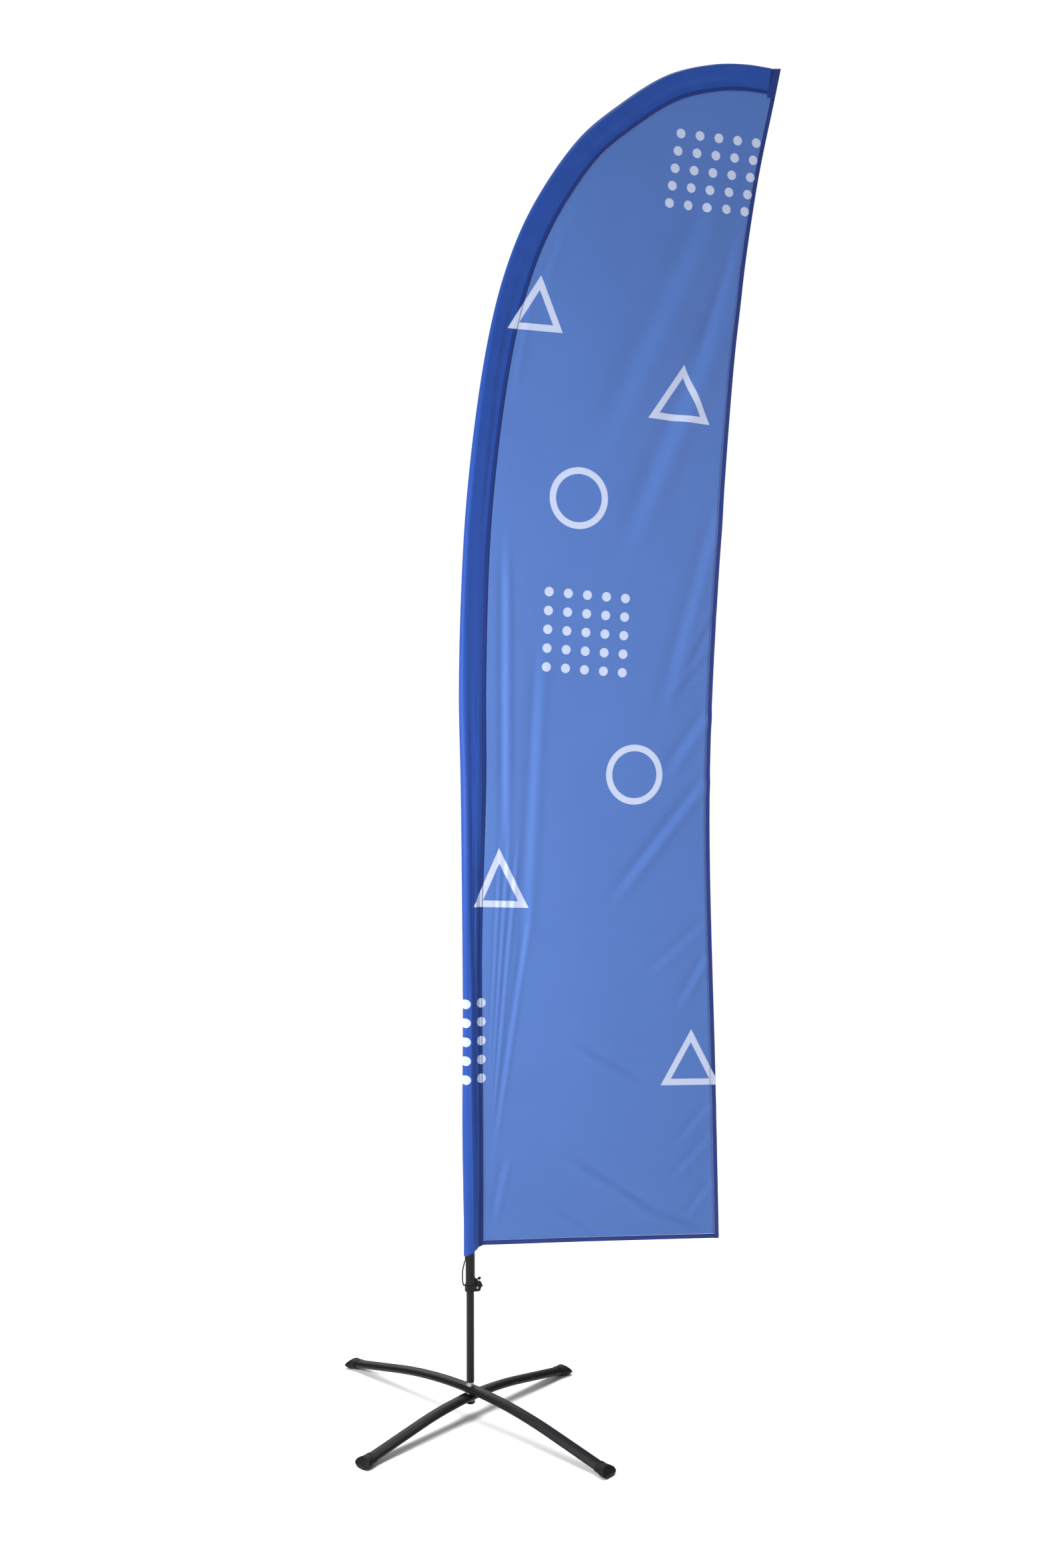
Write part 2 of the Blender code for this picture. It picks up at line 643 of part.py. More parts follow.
def seam_distance(length):
    """Distance from the pole's centre to the seam, square to the pole."""
    return band_width(POLE.at(length)[1]) - sleeve_bore(length) - SLEEVE_WALL


def inward(length):
    """Unit (x, z) direction from the pole towards the panel."""
    along = POLE.along(length)
    return np.array([along[1], -along[0]])


def seam_point(length, beyond=0.0):
    return POLE.at(length) + inward(length) * (seam_distance(length) + beyond)


def sleeve_section(length):
    """Teardrop round the pole that narrows to the seam, as (towards the panel, across) points."""
    outer = sleeve_bore(length) + SLEEVE_WALL
    tail = seam_distance(length)
    lean = math.acos(outer / tail)
    angles = np.linspace(lean, 2 * math.pi - lean, 13)
    loop = [(outer * math.cos(a), outer * math.sin(a)) for a in angles]
    return loop + [(tail, -SEAM_HALF), (tail, SEAM_HALF)]


def sleeve_stations():
    first = POLE.length_at(SLEEVE_BOTTOM + 0.075)
    bend = POLE.length_at(BEND_START)
    stop = POLE.total + TIP_CROWN
    return list(np.linspace(first, bend, 9)) + list(np.linspace(bend, stop, 30)[1:])


def past_tip(length):
    """The pole's line, carried straight on beyond its tip."""
    return POLE.at(length) + POLE.along(POLE.total) * max(length - POLE.total, 0)


def sleeve_ring(length):
    centre = past_tip(length)
    across = inward(min(length, POLE.total))
    ring = []
    for out, y in sleeve_section(min(length, POLE.total)):
        x, z = centre + across * out
        ring.append((x, y, z))
    return ring


def sleeve():
    """The pocket that the pole runs in: a skin through the teardrop rings, with its lower edge cut on a slant."""
    rings = [sleeve_ring(length) for length in sleeve_stations()]
    left = min(x for x, _, _ in rings[0])
    slanted = [(x, y, SLEEVE_BOTTOM + SLEEVE_SLANT * (x - left)) for x, y, _ in rings[0]]
    bm = bmesh.new()
    rows = [[bm.verts.new(point) for point in ring] for ring in [slanted] + rings]
    for low, high in zip(rows, rows[1:]):
        for n in range(len(low)):
            m = (n + 1) % len(low)
            bm.faces.new((low[n], low[m], high[m], high[n]))
    bmesh.ops.recalc_face_normals(bm, faces=bm.faces)
    obj = place("flag_sleeve", shade(mesh_from(bm, "flag_sleeve")), DARK_CLOTH)
    attach(hollow(obj, SLEEVE_WALL), lift_axis)


def corner_point():
    return (TIP_REACH + CORNER_REACH, TIP_HEIGHT + CORNER_HEIGHT)


def free_edge():
    """The free side of the flag, from the bottom corner to the top corner."""
    corner_x, corner_z = corner_point()
    height = corner_z - FLAG_BOTTOM
    flare = corner_x - FLAG_WIDTH
    return Line([(FLAG_WIDTH + out * flare, FLAG_BOTTOM + up * height) for up, out in FREE_EDGE_SHAPE])


def edge_point(edge, length, inset):
    along = edge.along(length)
    return edge.at(length) + np.array([-along[1], along[0]]) * inset


def flat_mesh(name, outline, thickness):
    """A flat shape in the plane y = 0 with this outline of (x, z) points."""
    curve = bpy.data.curves.new(name, "CURVE")
    curve.dimensions = "2D"
    curve.fill_mode = "BOTH"
    curve.extrude = thickness / 2
    curve.resolution_u = 1
    spline = curve.splines.new("POLY")
    spline.points.add(len(outline) - 1)
    for point, (x, z) in zip(spline.points, outline):
        point.co = (x, z, 0, 1)
    spline.use_cyclic_u = True
    return skin_mesh(name, curve, turn=math.pi / 2)


def flat_piece(name, outline, thickness, look):
    attach(place(name, flat_mesh(name, outline, thickness), look), lift_axis)


def side_lengths(edge):
    """Stations up the free side, from the bottom corner to the corner patch."""
    top = edge.length_at(corner_point()[1] - PATCH_HEIGHT - GAP)
    return np.linspace(0, top, 15)


def side_hem(edge):
    lengths = side_lengths(edge)
    outside = [tuple(edge.at(length)) for length in lengths]
    inside = [tuple(edge_point(edge, length, HEM_WIDTH)) for length in lengths]
    flat_piece("side_hem", outside + inside[::-1], HEM_THICKNESS, DARK_CLOTH)


def hem_foot():
    """Where the sleeve's slanted lower edge meets the seam."""
    first = sleeve_stations()[0]
    x = seam_point(first, GAP)[0]
    left = POLE.at(first)[0] - sleeve_bore(first) - SLEEVE_WALL
    return x, SLEEVE_BOTTOM + SLEEVE_SLANT * (x - left)


def bottom_line(edge, lift):
    """The bottom edge from the sleeve to the side hem, raised by lift."""
    foot_x, foot_z = hem_foot()
    stop_x = min(edge_point(edge, length, HEM_WIDTH + GAP)[0] for length in (0, HEM_WIDTH, 2 * HEM_WIDTH))
    fall = (FLAG_BOTTOM - foot_z) / (edge.at(0)[0] - foot_x)
    return [(x, foot_z + fall * (x - foot_x) + lift) for x in (foot_x, stop_x)]


def bottom_hem(edge):
    outline = bottom_line(edge, 0) + bottom_line(edge, HEM_WIDTH)[::-1]
    flat_piece("bottom_hem", outline, HEM_THICKNESS, DARK_CLOTH)


def across_corner(edge, length):
    """Ends of the line square to the free side at this length, from past the sleeve's end to the free side."""
    left_x = past_tip(sleeve_stations()[-1])[0] + GAP
    right = edge.at(length)
    left = edge_point(edge, length, (right[0] - left_x) / edge.along(length)[1])
    return tuple(left), tuple(right)


def flag_panel(edge):
    lengths = side_lengths(edge)
    outline = bottom_line(edge, HEM_WIDTH + GAP)
    outline += [tuple(edge_point(edge, length, HEM_WIDTH + GAP)) for length in lengths[1:]]
    outline.append(across_corner(edge, lengths[-1])[0])
    stations = [length for length in sleeve_stations() if length < POLE.total - 0.01]
    outline += [tuple(seam_point(length, GAP)) for length in reversed(stations)]
    flat_piece("flag_panel", outline, PANEL_THICKNESS, LIGHT_CLOTH)


def corner_patch(edge):
    """Folded patch that closes the sleeve over the pole's tip."""
    left, right = across_corner(edge, side_lengths(edge)[-1] + GAP)
    corner_x, corner_z = corner_point()
    shoulder = [(left[0] + x, corner_z - z) for x, z in PATCH_SHOULDER]
    flat_piece("corner_patch", [left, right, (corner_x, corner_z)] + shoulder, PATCH_THICKNESS, DARK_CLOTH)


# Tension cord and its anchor


def anchor_collar():
    """Ring clamped round the pole's foot, with a barbed lug that holds the cord."""
    bore = POLE_RADIUS + GAP
    ring = ring_profile(bore, bore + COLLAR_WALL, 0, COLLAR_HEIGHT)
    collar = turned("anchor_collar", ring, BLACK_PLASTIC, height=POLE_BOTTOM)
    outline = [(POLE_RADIUS + x, POLE_BOTTOM + z) for x, z in LUG_OUTLINE]
    boolean(collar, cutter("lug_form", flat_mesh("lug_form", outline, LUG_THICKNESS)), "UNION")
    drill = cutter("screw_drill", cylinder_mesh("screw_drill", SCREW_RADIUS + GAP, -SCREW_LENGTH - GAP, 0.004, 12))
    drill.matrix_world = screw_place()
    boolean(collar, drill)
    attach(collar, lift_axis)


def screw_place():
    x, z = SCREW_POINT
    spot = Matrix.Translation((POLE_RADIUS + x, -LUG_THICKNESS / 2, POLE_BOTTOM + z))
    return spot @ Matrix.Rotation(math.pi / 2, 4, "X")


def anchor_screw():
    """Round-headed screw in the lug's front face."""
    head = SCREW_HEAD_RADIUS
    profile = (
        (0, GAP + SCREW_HEAD_HEIGHT), (head * 0.55, GAP + SCREW_HEAD_HEIGHT * 0.92),
        (head * 0.9, GAP + SCREW_HEAD_HEIGHT * 0.55), (head, GAP), (SCREW_RADIUS, GAP),
        (SCREW_RADIUS, -SCREW_LENGTH), (0, -SCREW_LENGTH),
    )
    screw = turned("anchor_screw", profile, ZINC, steps=16)
    screw.matrix_world = screw_place()
    attach(screw, lift_axis)


def cord_pieces():
    """Webbing tab inside the sleeve's lower edge, the elastic cord and the knot that holds it on the lug."""
    bm = bmesh.new()
    radius = POLE_RADIUS + GAP
    bottom = SLEEVE_BOTTOM - TAB_TAIL
    size = Matrix.Diagonal((TAB_THICKNESS, TAB_WIDTH, TAB_LENGTH, 1))
    spot = Matrix.Translation((-radius - TAB_THICKNESS / 2, 0, bottom + TAB_LENGTH / 2))
    bmesh.ops.create_cube(bm, size=1, matrix=spot @ size)
    attach(place("cord_tab", mesh_from(bm, "cord_tab"), ELASTIC), lift_axis)

    route = Line(CORD_ROUTE)
    lengths = np.linspace(0, route.total, 26)
    points = [tuple(route.at(length)) for length in lengths]
    cord = rod("tension_cord", points, [CORD_RADIUS] * len(points), ELASTIC, sides=8)
    attach(cord, lift_axis)

    bm = bmesh.new()
    end = Vector(CORD_ROUTE[-1])
    ahead = (end - Vector(CORD_ROUTE[-2])).normalized()
    centre = end + ahead * (KNOT_RADIUS + GAP)
    bmesh.ops.create_uvsphere(bm, u_segments=12, v_segments=8, radius=KNOT_RADIUS, matrix=Matrix.Translation(centre))
    attach(place("cord_knot", shade(mesh_from(bm, "cord_knot")), ELASTIC), lift_axis)


def axis_empty(name, height, parent=None):
    empty = bpy.data.objects.new(name, None)
    empty.location.z = height
    PARTS.objects.link(empty)
    attach(empty, parent)
    return empty


def attach(obj, parent):
    """Parent the object and keep it where it is."""
    if parent is None:
        return
    bpy.context.view_layer.update()
    obj.parent = parent
    obj.matrix_parent_inverse = parent.matrix_world.inverted()


def set_aside():
    """Hang everything that has no parent yet on the stand's own empty, and set that beside the origin."""
    foot = axis_empty("pole_foot", 0.0)
    for obj in list(PARTS.objects) + list(CUTTERS.objects):
        if obj is not foot and obj.parent is None:
            attach(obj, foot)
    foot.location.x = STAND_X


def floor_block():
    bm = bmesh.new()
    size = 2.2 * max(UPPER_LEG_REACH, LOWER_LEG_REACH)
    block = Matrix.Translation((0, 0, -0.05)) @ Matrix.Diagonal((size, size, 0.1, 1))
    bmesh.ops.create_cube(bm, size=1, matrix=block)
    return cutter("floor_block", mesh_from(bm, "floor_block"))


clear_scene()
PARTS = new_collection("feather_flag")
CUTTERS = new_collection("cutters")
POLE = pole_line()

bolt_drill = cutter("bolt_drill", cylinder_mesh("bolt_drill", BOLT_RADIUS + GAP, 0.02, POST_BOTTOM + 0.02))
floor_cutter = floor_block()
fold_axis = axis_empty("leg_fold_axis", UPPER_HUB)
spin_axis = axis_empty("pole_spin_axis", POST_TOP)
lift_axis = axis_empty("pole_lift_axis", POST_TOP, spin_axis)

leg_tube("lower_leg_tube", LOWER_LEG_REACH, LOWER_HUB, LOWER_LEG_ANGLE)
foot_cap("lower_leg_back_cap", LOWER_LEG_REACH, LOWER_HUB, LOWER_LEG_ANGLE)
foot_cap("lower_leg_front_cap", LOWER_LEG_REACH, LOWER_HUB, LOWER_LEG_ANGLE + math.pi)
leg_tube("upper_leg_tube", UPPER_LEG_REACH, UPPER_HUB, UPPER_LEG_ANGLE, fold_axis)
foot_cap("upper_leg_front_cap", UPPER_LEG_REACH, UPPER_HUB, UPPER_LEG_ANGLE, fold_axis)
foot_cap("upper_leg_back_cap", UPPER_LEG_REACH, UPPER_HUB, UPPER_LEG_ANGLE + math.pi, fold_axis)
hub_pieces()
post_pieces()
swivel_cup()
pole_sections()
pole_ferrules()
pole_end_pieces()
sleeve()
flag_edge = free_edge()
side_hem(flag_edge)
bottom_hem(flag_edge)
flag_panel(flag_edge)
corner_patch(flag_edge)
anchor_collar()
anchor_screw()
cord_pieces()
set_aside()
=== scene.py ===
"""A feather flag on its curved pole and folding cross base, standing in a pale studio.

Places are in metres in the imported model's frame: +Z up, the flag's cloth along +X in the plane y = 0.
"""

import json
import math

import bmesh
import bpy
import numpy as np
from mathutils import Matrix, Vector


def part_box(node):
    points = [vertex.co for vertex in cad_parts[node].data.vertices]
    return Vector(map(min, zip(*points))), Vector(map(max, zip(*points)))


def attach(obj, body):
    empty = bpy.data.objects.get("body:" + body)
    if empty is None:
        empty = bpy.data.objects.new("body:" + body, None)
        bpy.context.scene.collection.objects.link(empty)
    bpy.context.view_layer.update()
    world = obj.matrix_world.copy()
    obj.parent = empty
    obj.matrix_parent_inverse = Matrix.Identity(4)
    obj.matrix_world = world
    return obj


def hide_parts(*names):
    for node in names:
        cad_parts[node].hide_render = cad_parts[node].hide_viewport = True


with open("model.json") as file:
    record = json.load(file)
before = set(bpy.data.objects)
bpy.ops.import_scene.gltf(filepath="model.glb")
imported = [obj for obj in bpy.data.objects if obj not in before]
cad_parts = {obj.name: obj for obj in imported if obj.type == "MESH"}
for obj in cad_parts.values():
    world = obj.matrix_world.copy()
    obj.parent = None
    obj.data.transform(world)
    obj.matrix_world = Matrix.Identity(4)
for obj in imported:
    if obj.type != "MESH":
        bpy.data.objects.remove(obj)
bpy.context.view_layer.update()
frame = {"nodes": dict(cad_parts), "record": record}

# The pole's foot, which the flag's own measurements start from
POST_LOW, POST_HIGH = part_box("post")
FOOT_X = (POST_LOW.x + POST_HIGH.x) / 2

# Camera, seen from the pole's foot
CAMERA_PLACE = (-0.960, -3.824, 1.819)
CAMERA_TURN = math.radians(-16)
CAMERA_DIP = math.radians(3.18)
CAMERA_LENS = 36.73

# Lights: name, place, aim, size, power, tint
LIGHTS = (
    ("key", (FOOT_X - 1.85, -1.1, 1.72), (FOOT_X + 0.3, 0, 1.72), (0.5, 0.7), 77, (1, 1, 1)),
    ("fill", (FOOT_X + 2.4, -1.9, 2.3), (FOOT_X + 0.4, 0, 2.2), (0.7, 0.9), 15, (1.0, 0.70, 0.66)),
    ("back", (FOOT_X + 0.3, 3.2, 2.2), (FOOT_X + 0.3, 0, 1.6), (2.4, 2.4), 40, (1, 1, 1)),
)
BACKDROP = 1.05
SURROUND = 0.16
OVERHEAD = 3.05
OVERHEAD_SPREAD = math.radians(40)
FLOOR_HALF = 30
FLOOR_DROP = 0.0005

# Lines of the flag as (x, z) from the pole's foot
POLE_LINE = (
    (0, 0.326), (0, 0.413), (0, 0.56), (0, 0.62), (-0.0031, 1.10), (-0.0083, 1.58), (-0.0115, 1.85),
    (0.0039, 2.2796), (0.0549, 2.6652), (0.1057, 2.8623), (0.1716, 3.0123), (0.2862, 3.1792),
    (0.3795, 3.2630), (0.5157, 3.3554), (0.6385, 3.3940), (0.7243, 3.4030), (0.788, 3.401),
)
FREE_EDGE = (
    (0.672, 0.398), (0.659, 0.7896), (0.641, 1.5308), (0.659, 2.1001), (0.700, 2.7056), (0.751, 3.0700),
    (0.821, 3.4105),
)
PATCH_FOOT = 3.3325  # height where the corner patch starts on the free side
PATCH_LEFT = 0.7830
PATCH_THICKNESS = 0.0032
PATCH_WIDTH = 0.028

# Cloth
CLOTH = 0.0004
SLEEVE_CLOTH = 0.0006
HEM_WIDTH = 0.012
HEM_THICKNESS = 0.0013
SLEEVE_BOTTOM = 0.416
SLEEVE_SLANT = 0.48  # rise of the foot for each unit towards the panel
BAND_NARROW = 0.048  # width of the flat sleeve low down
BAND_WIDER_BY = 0.018  # and how much wider it is above
BAND_WIDENS_FROM = 1.10
BAND_WIDENS_OVER = 0.65
SEAM_START = 0.075  # height from the sleeve's foot to the first stitch of the panel
SEAM_CALM = 0.035  # the folds begin over this width beside the seam
CALM_TOP = 3.12
CALM_TOP_BAND = 0.20
PANEL_ROWS = 400
SEAM_COLUMNS = 36
SEAM_SHARE = 0.22
FREE_COLUMNS = 66
# Length up the pole, and the sleeve's radius there
SLEEVE_RADII = ((0, 0.0150), (0.85, 0.0143), (1.7, 0.0118), (2.55, 0.0090), (3.6, 0.0078))
SLEEVE_ROWS = 420
LEAD_ROWS = 12  # rings between the slanted foot and the first square one
LEAD_LENGTH = 0.06
SLEEVE_FOLDS = (  # lengths up the pole, shares of the band's width at both, half width as a share, height
    (0.05, 0.95, 0.34, 0.28, 0.050, 0.0022),
    (0.10, 1.25, 0.52, 0.50, 0.045, -0.0020),
    (0.30, 1.50, 0.68, 0.62, 0.060, 0.0022),
    (0.02, 0.60, 0.80, 0.86, 0.050, -0.0018),
    (0.70, 1.75, 0.30, 0.42, 0.050, -0.0018),
    (1.05, 2.00, 0.78, 0.70, 0.070, 0.0018),
    (1.30, 2.30, 0.50, 0.55, 0.080, 0.0014),
    (1.80, 2.70, 0.66, 0.60, 0.090, -0.0014),
    (2.20, 3.10, 0.45, 0.52, 0.090, 0.0012),
    (2.70, 3.45, 0.60, 0.66, 0.090, -0.0012),
)
SLEEVE_BULGES = ((0.40, 0.22, 0.0045), (1.55, 0.2, 0.002))  # length up the pole, half length, how far out
SEAM_FLAT = 0.010  # the seam allowance lies flat over this width
SEAM_HALF = 0.0012
EDGE_GAP = 0.0002
PAST_TIP = 0.0025  # the sleeve runs this far past the pole's line

# Base
OVAL_SIDES = 40
LEG_RINGS = 81
LEG_WIDTH = 0.034
LEG_HEIGHT = 0.019
LEG_FLAT_HEIGHT = 0.017
LEG_FLAT_REACH = 0.026
PRESSED_SHARE = 0.44  # faces this far from the middle, as a share of the height, are pressed flat
TUBE_EDGE = 0.0006
FOOT_EDGE = 0.0007
EDGE_ANGLE = math.radians(38)
SMOOTH_ANGLE = math.radians(40)
LEG_STRAIGHT = 0.175
LEG_END_HEIGHT = 0.0115
LOWER_HUB = 0.0555
LOWER_REACH = 0.3535
LOWER_TURN = math.radians(31.2)
UPPER_HUB = 0.0745
UPPER_REACH = 0.444
UPPER_TURN = math.radians(31.2 - 90)
TOE_LIP = 0.0075
TOE_SLANT = math.radians(36)
FOOT_OUTLINE = (  # along the arm from the tube's end, half width
    (-0.0215, 0.0173), (-0.0220, 0.0186), (-0.0212, 0.0194), (-0.0192, 0.0194), (-0.0186, 0.0189),
    (-0.0172, 0.0189), (-0.0166, 0.0194), (-0.0146, 0.0195), (-0.0140, 0.0190), (-0.0126, 0.0191),
    (-0.0120, 0.0197), (-0.0090, 0.0203), (-0.0040, 0.0218), (0.0010, 0.0229), (0.0120, 0.0229),
    (0.0140, 0.0212),
)

# Tension cord, from the tab's end to the knot
CORD_DIAMETER = 0.0036
KNOT_LOOP = 0.00092
KNOT_STRAND = 0.0017
CORD_ROUTE = (
    (-0.0142, 0, 0.4035), (-0.0160, 0, 0.395), (-0.0192, 0, 0.381), (-0.0203, 0, 0.368),
    (-0.0198, 0.0006, 0.356), (-0.0178, 0.0036, 0.3455), (-0.0142, 0.0090, 0.3380), (-0.0078, 0.0148, 0.3345),
    (0, 0.0168, 0.3350), (0.0080, 0.0148, 0.3375), (0.0138, 0.0116, 0.3425), (0.0188, 0.0086, 0.3496),
    (0.0216, 0.0046, 0.3526),
)

FOLD_HEIGHT = 1.5
# Pull folds of the panel: from, to, half width, height.
# A positive height leans the fold's middle towards the left.
FOLDS = (
    ((0.640, 3.060), (0.330, 2.400), 0.040, 0.0085),
    ((0.690, 2.850), (0.385, 2.120), 0.034, 0.0090),
    ((0.700, 2.950), (0.600, 2.640), 0.016, 0.0040),
    ((0.660, 2.300), (0.500, 1.730), 0.022, 0.0050),
    ((0.640, 1.930), (0.525, 1.800), 0.012, -0.0035),
    ((0.645, 2.030), (0.565, 1.870), 0.012, -0.0030),
    ((0.640, 1.780), (0.510, 1.600), 0.018, 0.0055),
    ((0.630, 1.600), (0.350, 1.270), 0.016, 0.0060),
    ((0.630, 1.230), (0.440, 1.080), 0.014, 0.0030),
    ((0.630, 1.140), (0.550, 1.010), 0.013, 0.0040),
    ((0.280, 0.930), (0.480, 0.812), 0.013, -0.0032),
    ((0.380, 0.905), (0.570, 0.900), 0.014, 0.0022),
    ((0.280, 0.630), (0.500, 0.480), 0.013, -0.0050),
    ((0.440, 0.505), (0.655, 0.408), 0.012, -0.0042),
    ((0.370, 0.560), (0.520, 0.510), 0.012, 0.0022),
    ((0.220, 0.510), (0.345, 0.430), 0.011, -0.0028),
    ((0.648, 0.672), (0.525, 0.555), 0.012, 0.0036),
    ((0.648, 0.760), (0.535, 0.640), 0.012, 0.0032),
    ((0.650, 0.550), (0.575, 0.455), 0.011, 0.0034),
    ((0.092, 2.150), (0.092, 1.330), 0.013, 0.0040),
    ((0.182, 1.900), (0.135, 1.050), 0.018, 0.0038),
    ((0.150, 1.250), (0.048, 0.600), 0.009, 0.0028),
    ((0.120, 1.420), (0.043, 0.590), 0.006, 0.0024),
    ((0.098, 1.450), (0.038, 0.585), 0.005, 0.0022),
    ((0.076, 1.420), (0.035, 0.590), 0.005, 0.0020),
    ((0.150, 2.800), (0.100, 2.530), 0.014, 0.0030),
    ((0.235, 2.950), (0.178, 2.800), 0.014, 0.0020),
    ((0.095, 0.650), (0.055, 0.480), 0.012, 0.0025),
)


# Lines


def smooth_line(points, per_span=40):
    """A centripetal Catmull-Rom line through the points."""
    points = np.array(points, dtype=float)
    ends = np.vstack([2 * points[0] - points[1], points, 2 * points[-1] - points[-2]])
    line = []
    for p0, p1, p2, p3 in zip(ends, ends[1:], ends[2:], ends[3:]):
        t1 = np.linalg.norm(p1 - p0) ** 0.5
        t2 = t1 + np.linalg.norm(p2 - p1) ** 0.5
        t3 = t2 + np.linalg.norm(p3 - p2) ** 0.5
        for t in np.linspace(t1, t2, per_span, endpoint=False):
            a1 = p0 * (t1 - t) / t1 + p1 * t / t1
            a2 = p1 * (t2 - t) / (t2 - t1) + p2 * (t - t1) / (t2 - t1)
            a3 = p2 * (t3 - t) / (t3 - t2) + p3 * (t - t2) / (t3 - t2)
            b1 = a1 * (t2 - t) / t2 + a2 * t / t2
            b2 = a2 * (t3 - t) / (t3 - t1) + a3 * (t - t1) / (t3 - t1)
            line.append(b1 * (t2 - t) / (t2 - t1) + b2 * (t - t1) / (t2 - t1))
    line.append(points[-1])
    return np.array(line)


class Line:
    """A smooth line that is read at lengths along it."""

    def __init__(self, points):
        self.points = smooth_line(points)
        steps = np.linalg.norm(np.diff(self.points, axis=0), axis=1)
        self.lengths = np.concatenate([[0], np.cumsum(steps)])
        self.total = float(self.lengths[-1])

    def at(self, length):
        return np.stack([np.interp(length, self.lengths, column) for column in self.points.T], axis=-1)

    def along(self, length):
        ahead = self.at(np.minimum(length + 0.006, self.total)) - self.at(np.maximum(length - 0.006, 0))
        return ahead / np.linalg.norm(ahead, axis=-1, keepdims=True)

    def length_at(self, height):
        return float(np.interp(height, self.points[:, 1], self.lengths))


def eased(share):
    share = np.clip(share, 0, 1)
    return share * share * (3 - 2 * share)


POLE = Line(POLE_LINE)
EDGE = Line(FREE_EDGE)


def inward(length):
    """Unit (x, z) direction from the pole towards the panel."""
    along = POLE.along(length)
    return np.stack([along[..., 1], -along[..., 0]], axis=-1)


def sleeve_radius(length):
    return np.interp(length, *zip(*SLEEVE_RADII))


def band_width(length):
    """Width of the sleeve lying flat: narrower low down."""
    rise = (POLE.at(length)[..., 1] - BAND_WIDENS_FROM) / BAND_WIDENS_OVER
    return BAND_NARROW + BAND_WIDER_BY * eased(rise)


def seam_distance(length):
    return band_width(length) - sleeve_radius(length)


def seam_at(length, beyond=0.0):
    return POLE.at(length) + inward(length) * (seam_distance(length) + beyond)[..., None]


# Cloth


def fold_depth(x, z):
    """How far the cloth stands behind the plane y = 0 at (x, z) from the pole's foot."""
    depth = 0.006 * np.sin(z * 3.4 + x * 2.0 + 0.8) * eased((x - 0.08) / 0.3)
    for start, end, half_width, height in FOLDS:
        run = np.subtract(end, start)
        length = np.linalg.norm(run)
        run = run / length
        side = np.array([run[1], -run[0]])
        side = side if side[0] < 0 else -side
        t = ((x - start[0]) * run[0] + (z - start[1]) * run[1]) / length
        d = ((x - start[0]) * side[0] + (z - start[1]) * side[1]) / half_width
        fade = eased((t + 0.12) / 0.25) * eased((1.05 - t) / 0.45)
        depth = depth + FOLD_HEIGHT * height * d * np.exp(-d * d) * fade
    return depth


def cloth_depth(x, z, from_seam):
    """The folds die out at the seam and at the top, where the cloth is sewn flat."""
    calm_top = 1 - eased((z - CALM_TOP) / CALM_TOP_BAND)
    return fold_depth(x, z) * eased(from_seam / SEAM_CALM) * calm_top


def grid_mesh(name, points, uvs, close=False):
    """A mesh over a grid of points, rows by columns, with a UV map that holds real lengths."""
    rows, columns = points.shape[:2]
    mesh = bpy.data.meshes.new(name)
    index = np.arange(rows * columns).reshape(rows, columns)
    wide = np.concatenate([index, index[:, :1]], axis=1) if close else index
    faces = np.stack([wide[:-1, :-1], wide[:-1, 1:], wide[1:, 1:], wide[1:, :-1]], axis=-1).reshape(-1, 4)
    mesh.from_pydata(points.reshape(-1, 3).tolist(), [], faces.tolist())
    layer = mesh.uv_layers.new(name="cloth")
    flat = uvs.reshape(-1, 2)
    loops = np.zeros(len(mesh.loops), dtype=int)
    mesh.loops.foreach_get("vertex_index", loops)
    layer.data.foreach_set("uv", flat[loops].ravel())
    mesh.shade_smooth()
    return mesh


def add_piece(name, mesh, body, replaces):
    obj = bpy.data.objects.new(name, mesh)
    bpy.context.scene.collection.objects.link(obj)
    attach(obj, body)
    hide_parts(*replaces)
    return obj


def thicken(obj, thickness, offset=0.0):
    wall = obj.modifiers.new("wall", "SOLIDIFY")
    wall.thickness = thickness
    wall.offset = offset
    wall.use_even_offset = False


def first_seam_length():
    return POLE.length_at(SLEEVE_BOTTOM + SEAM_START)


def hem_foot():
    """Bottom corner of the panel by the sleeve."""
    x = float(seam_at(np.array(first_seam_length()), EDGE_GAP)[0])
    left = -float(sleeve_radius(0.16))
    return np.array([x, SLEEVE_BOTTOM + SLEEVE_SLANT * (x - left)])


def edge_inset(length, inset):
    along = EDGE.along(length)
    return EDGE.at(length) + np.stack([-along[..., 1], along[..., 0]], axis=-1) * inset


def panel_borders(rows):
    """Points up the seam and up the free side, from the bottom hem's top to the corner."""
    foot = hem_foot()
    slope = (FREE_EDGE[0][1] - foot[1]) / (FREE_EDGE[0][0] - foot[0])
    first = first_seam_length()
    seam_lengths = np.linspace(first - 0.045, POLE.total - 0.002, rows)
    seam = seam_at(seam_lengths, EDGE_GAP)
    free_lengths = np.linspace(0, EDGE.length_at(PATCH_FOOT + 0.010), rows)
    free = edge_inset(free_lengths, HEM_WIDTH + EDGE_GAP)
    lift = HEM_WIDTH + EDGE_GAP
    for line in (seam, free):
        floor = foot[1] + slope * (line[:, 0] - foot[0]) + lift
        line[:, 1] = np.maximum(line[:, 1], floor + np.arange(rows) * 1e-5)
    return seam, free


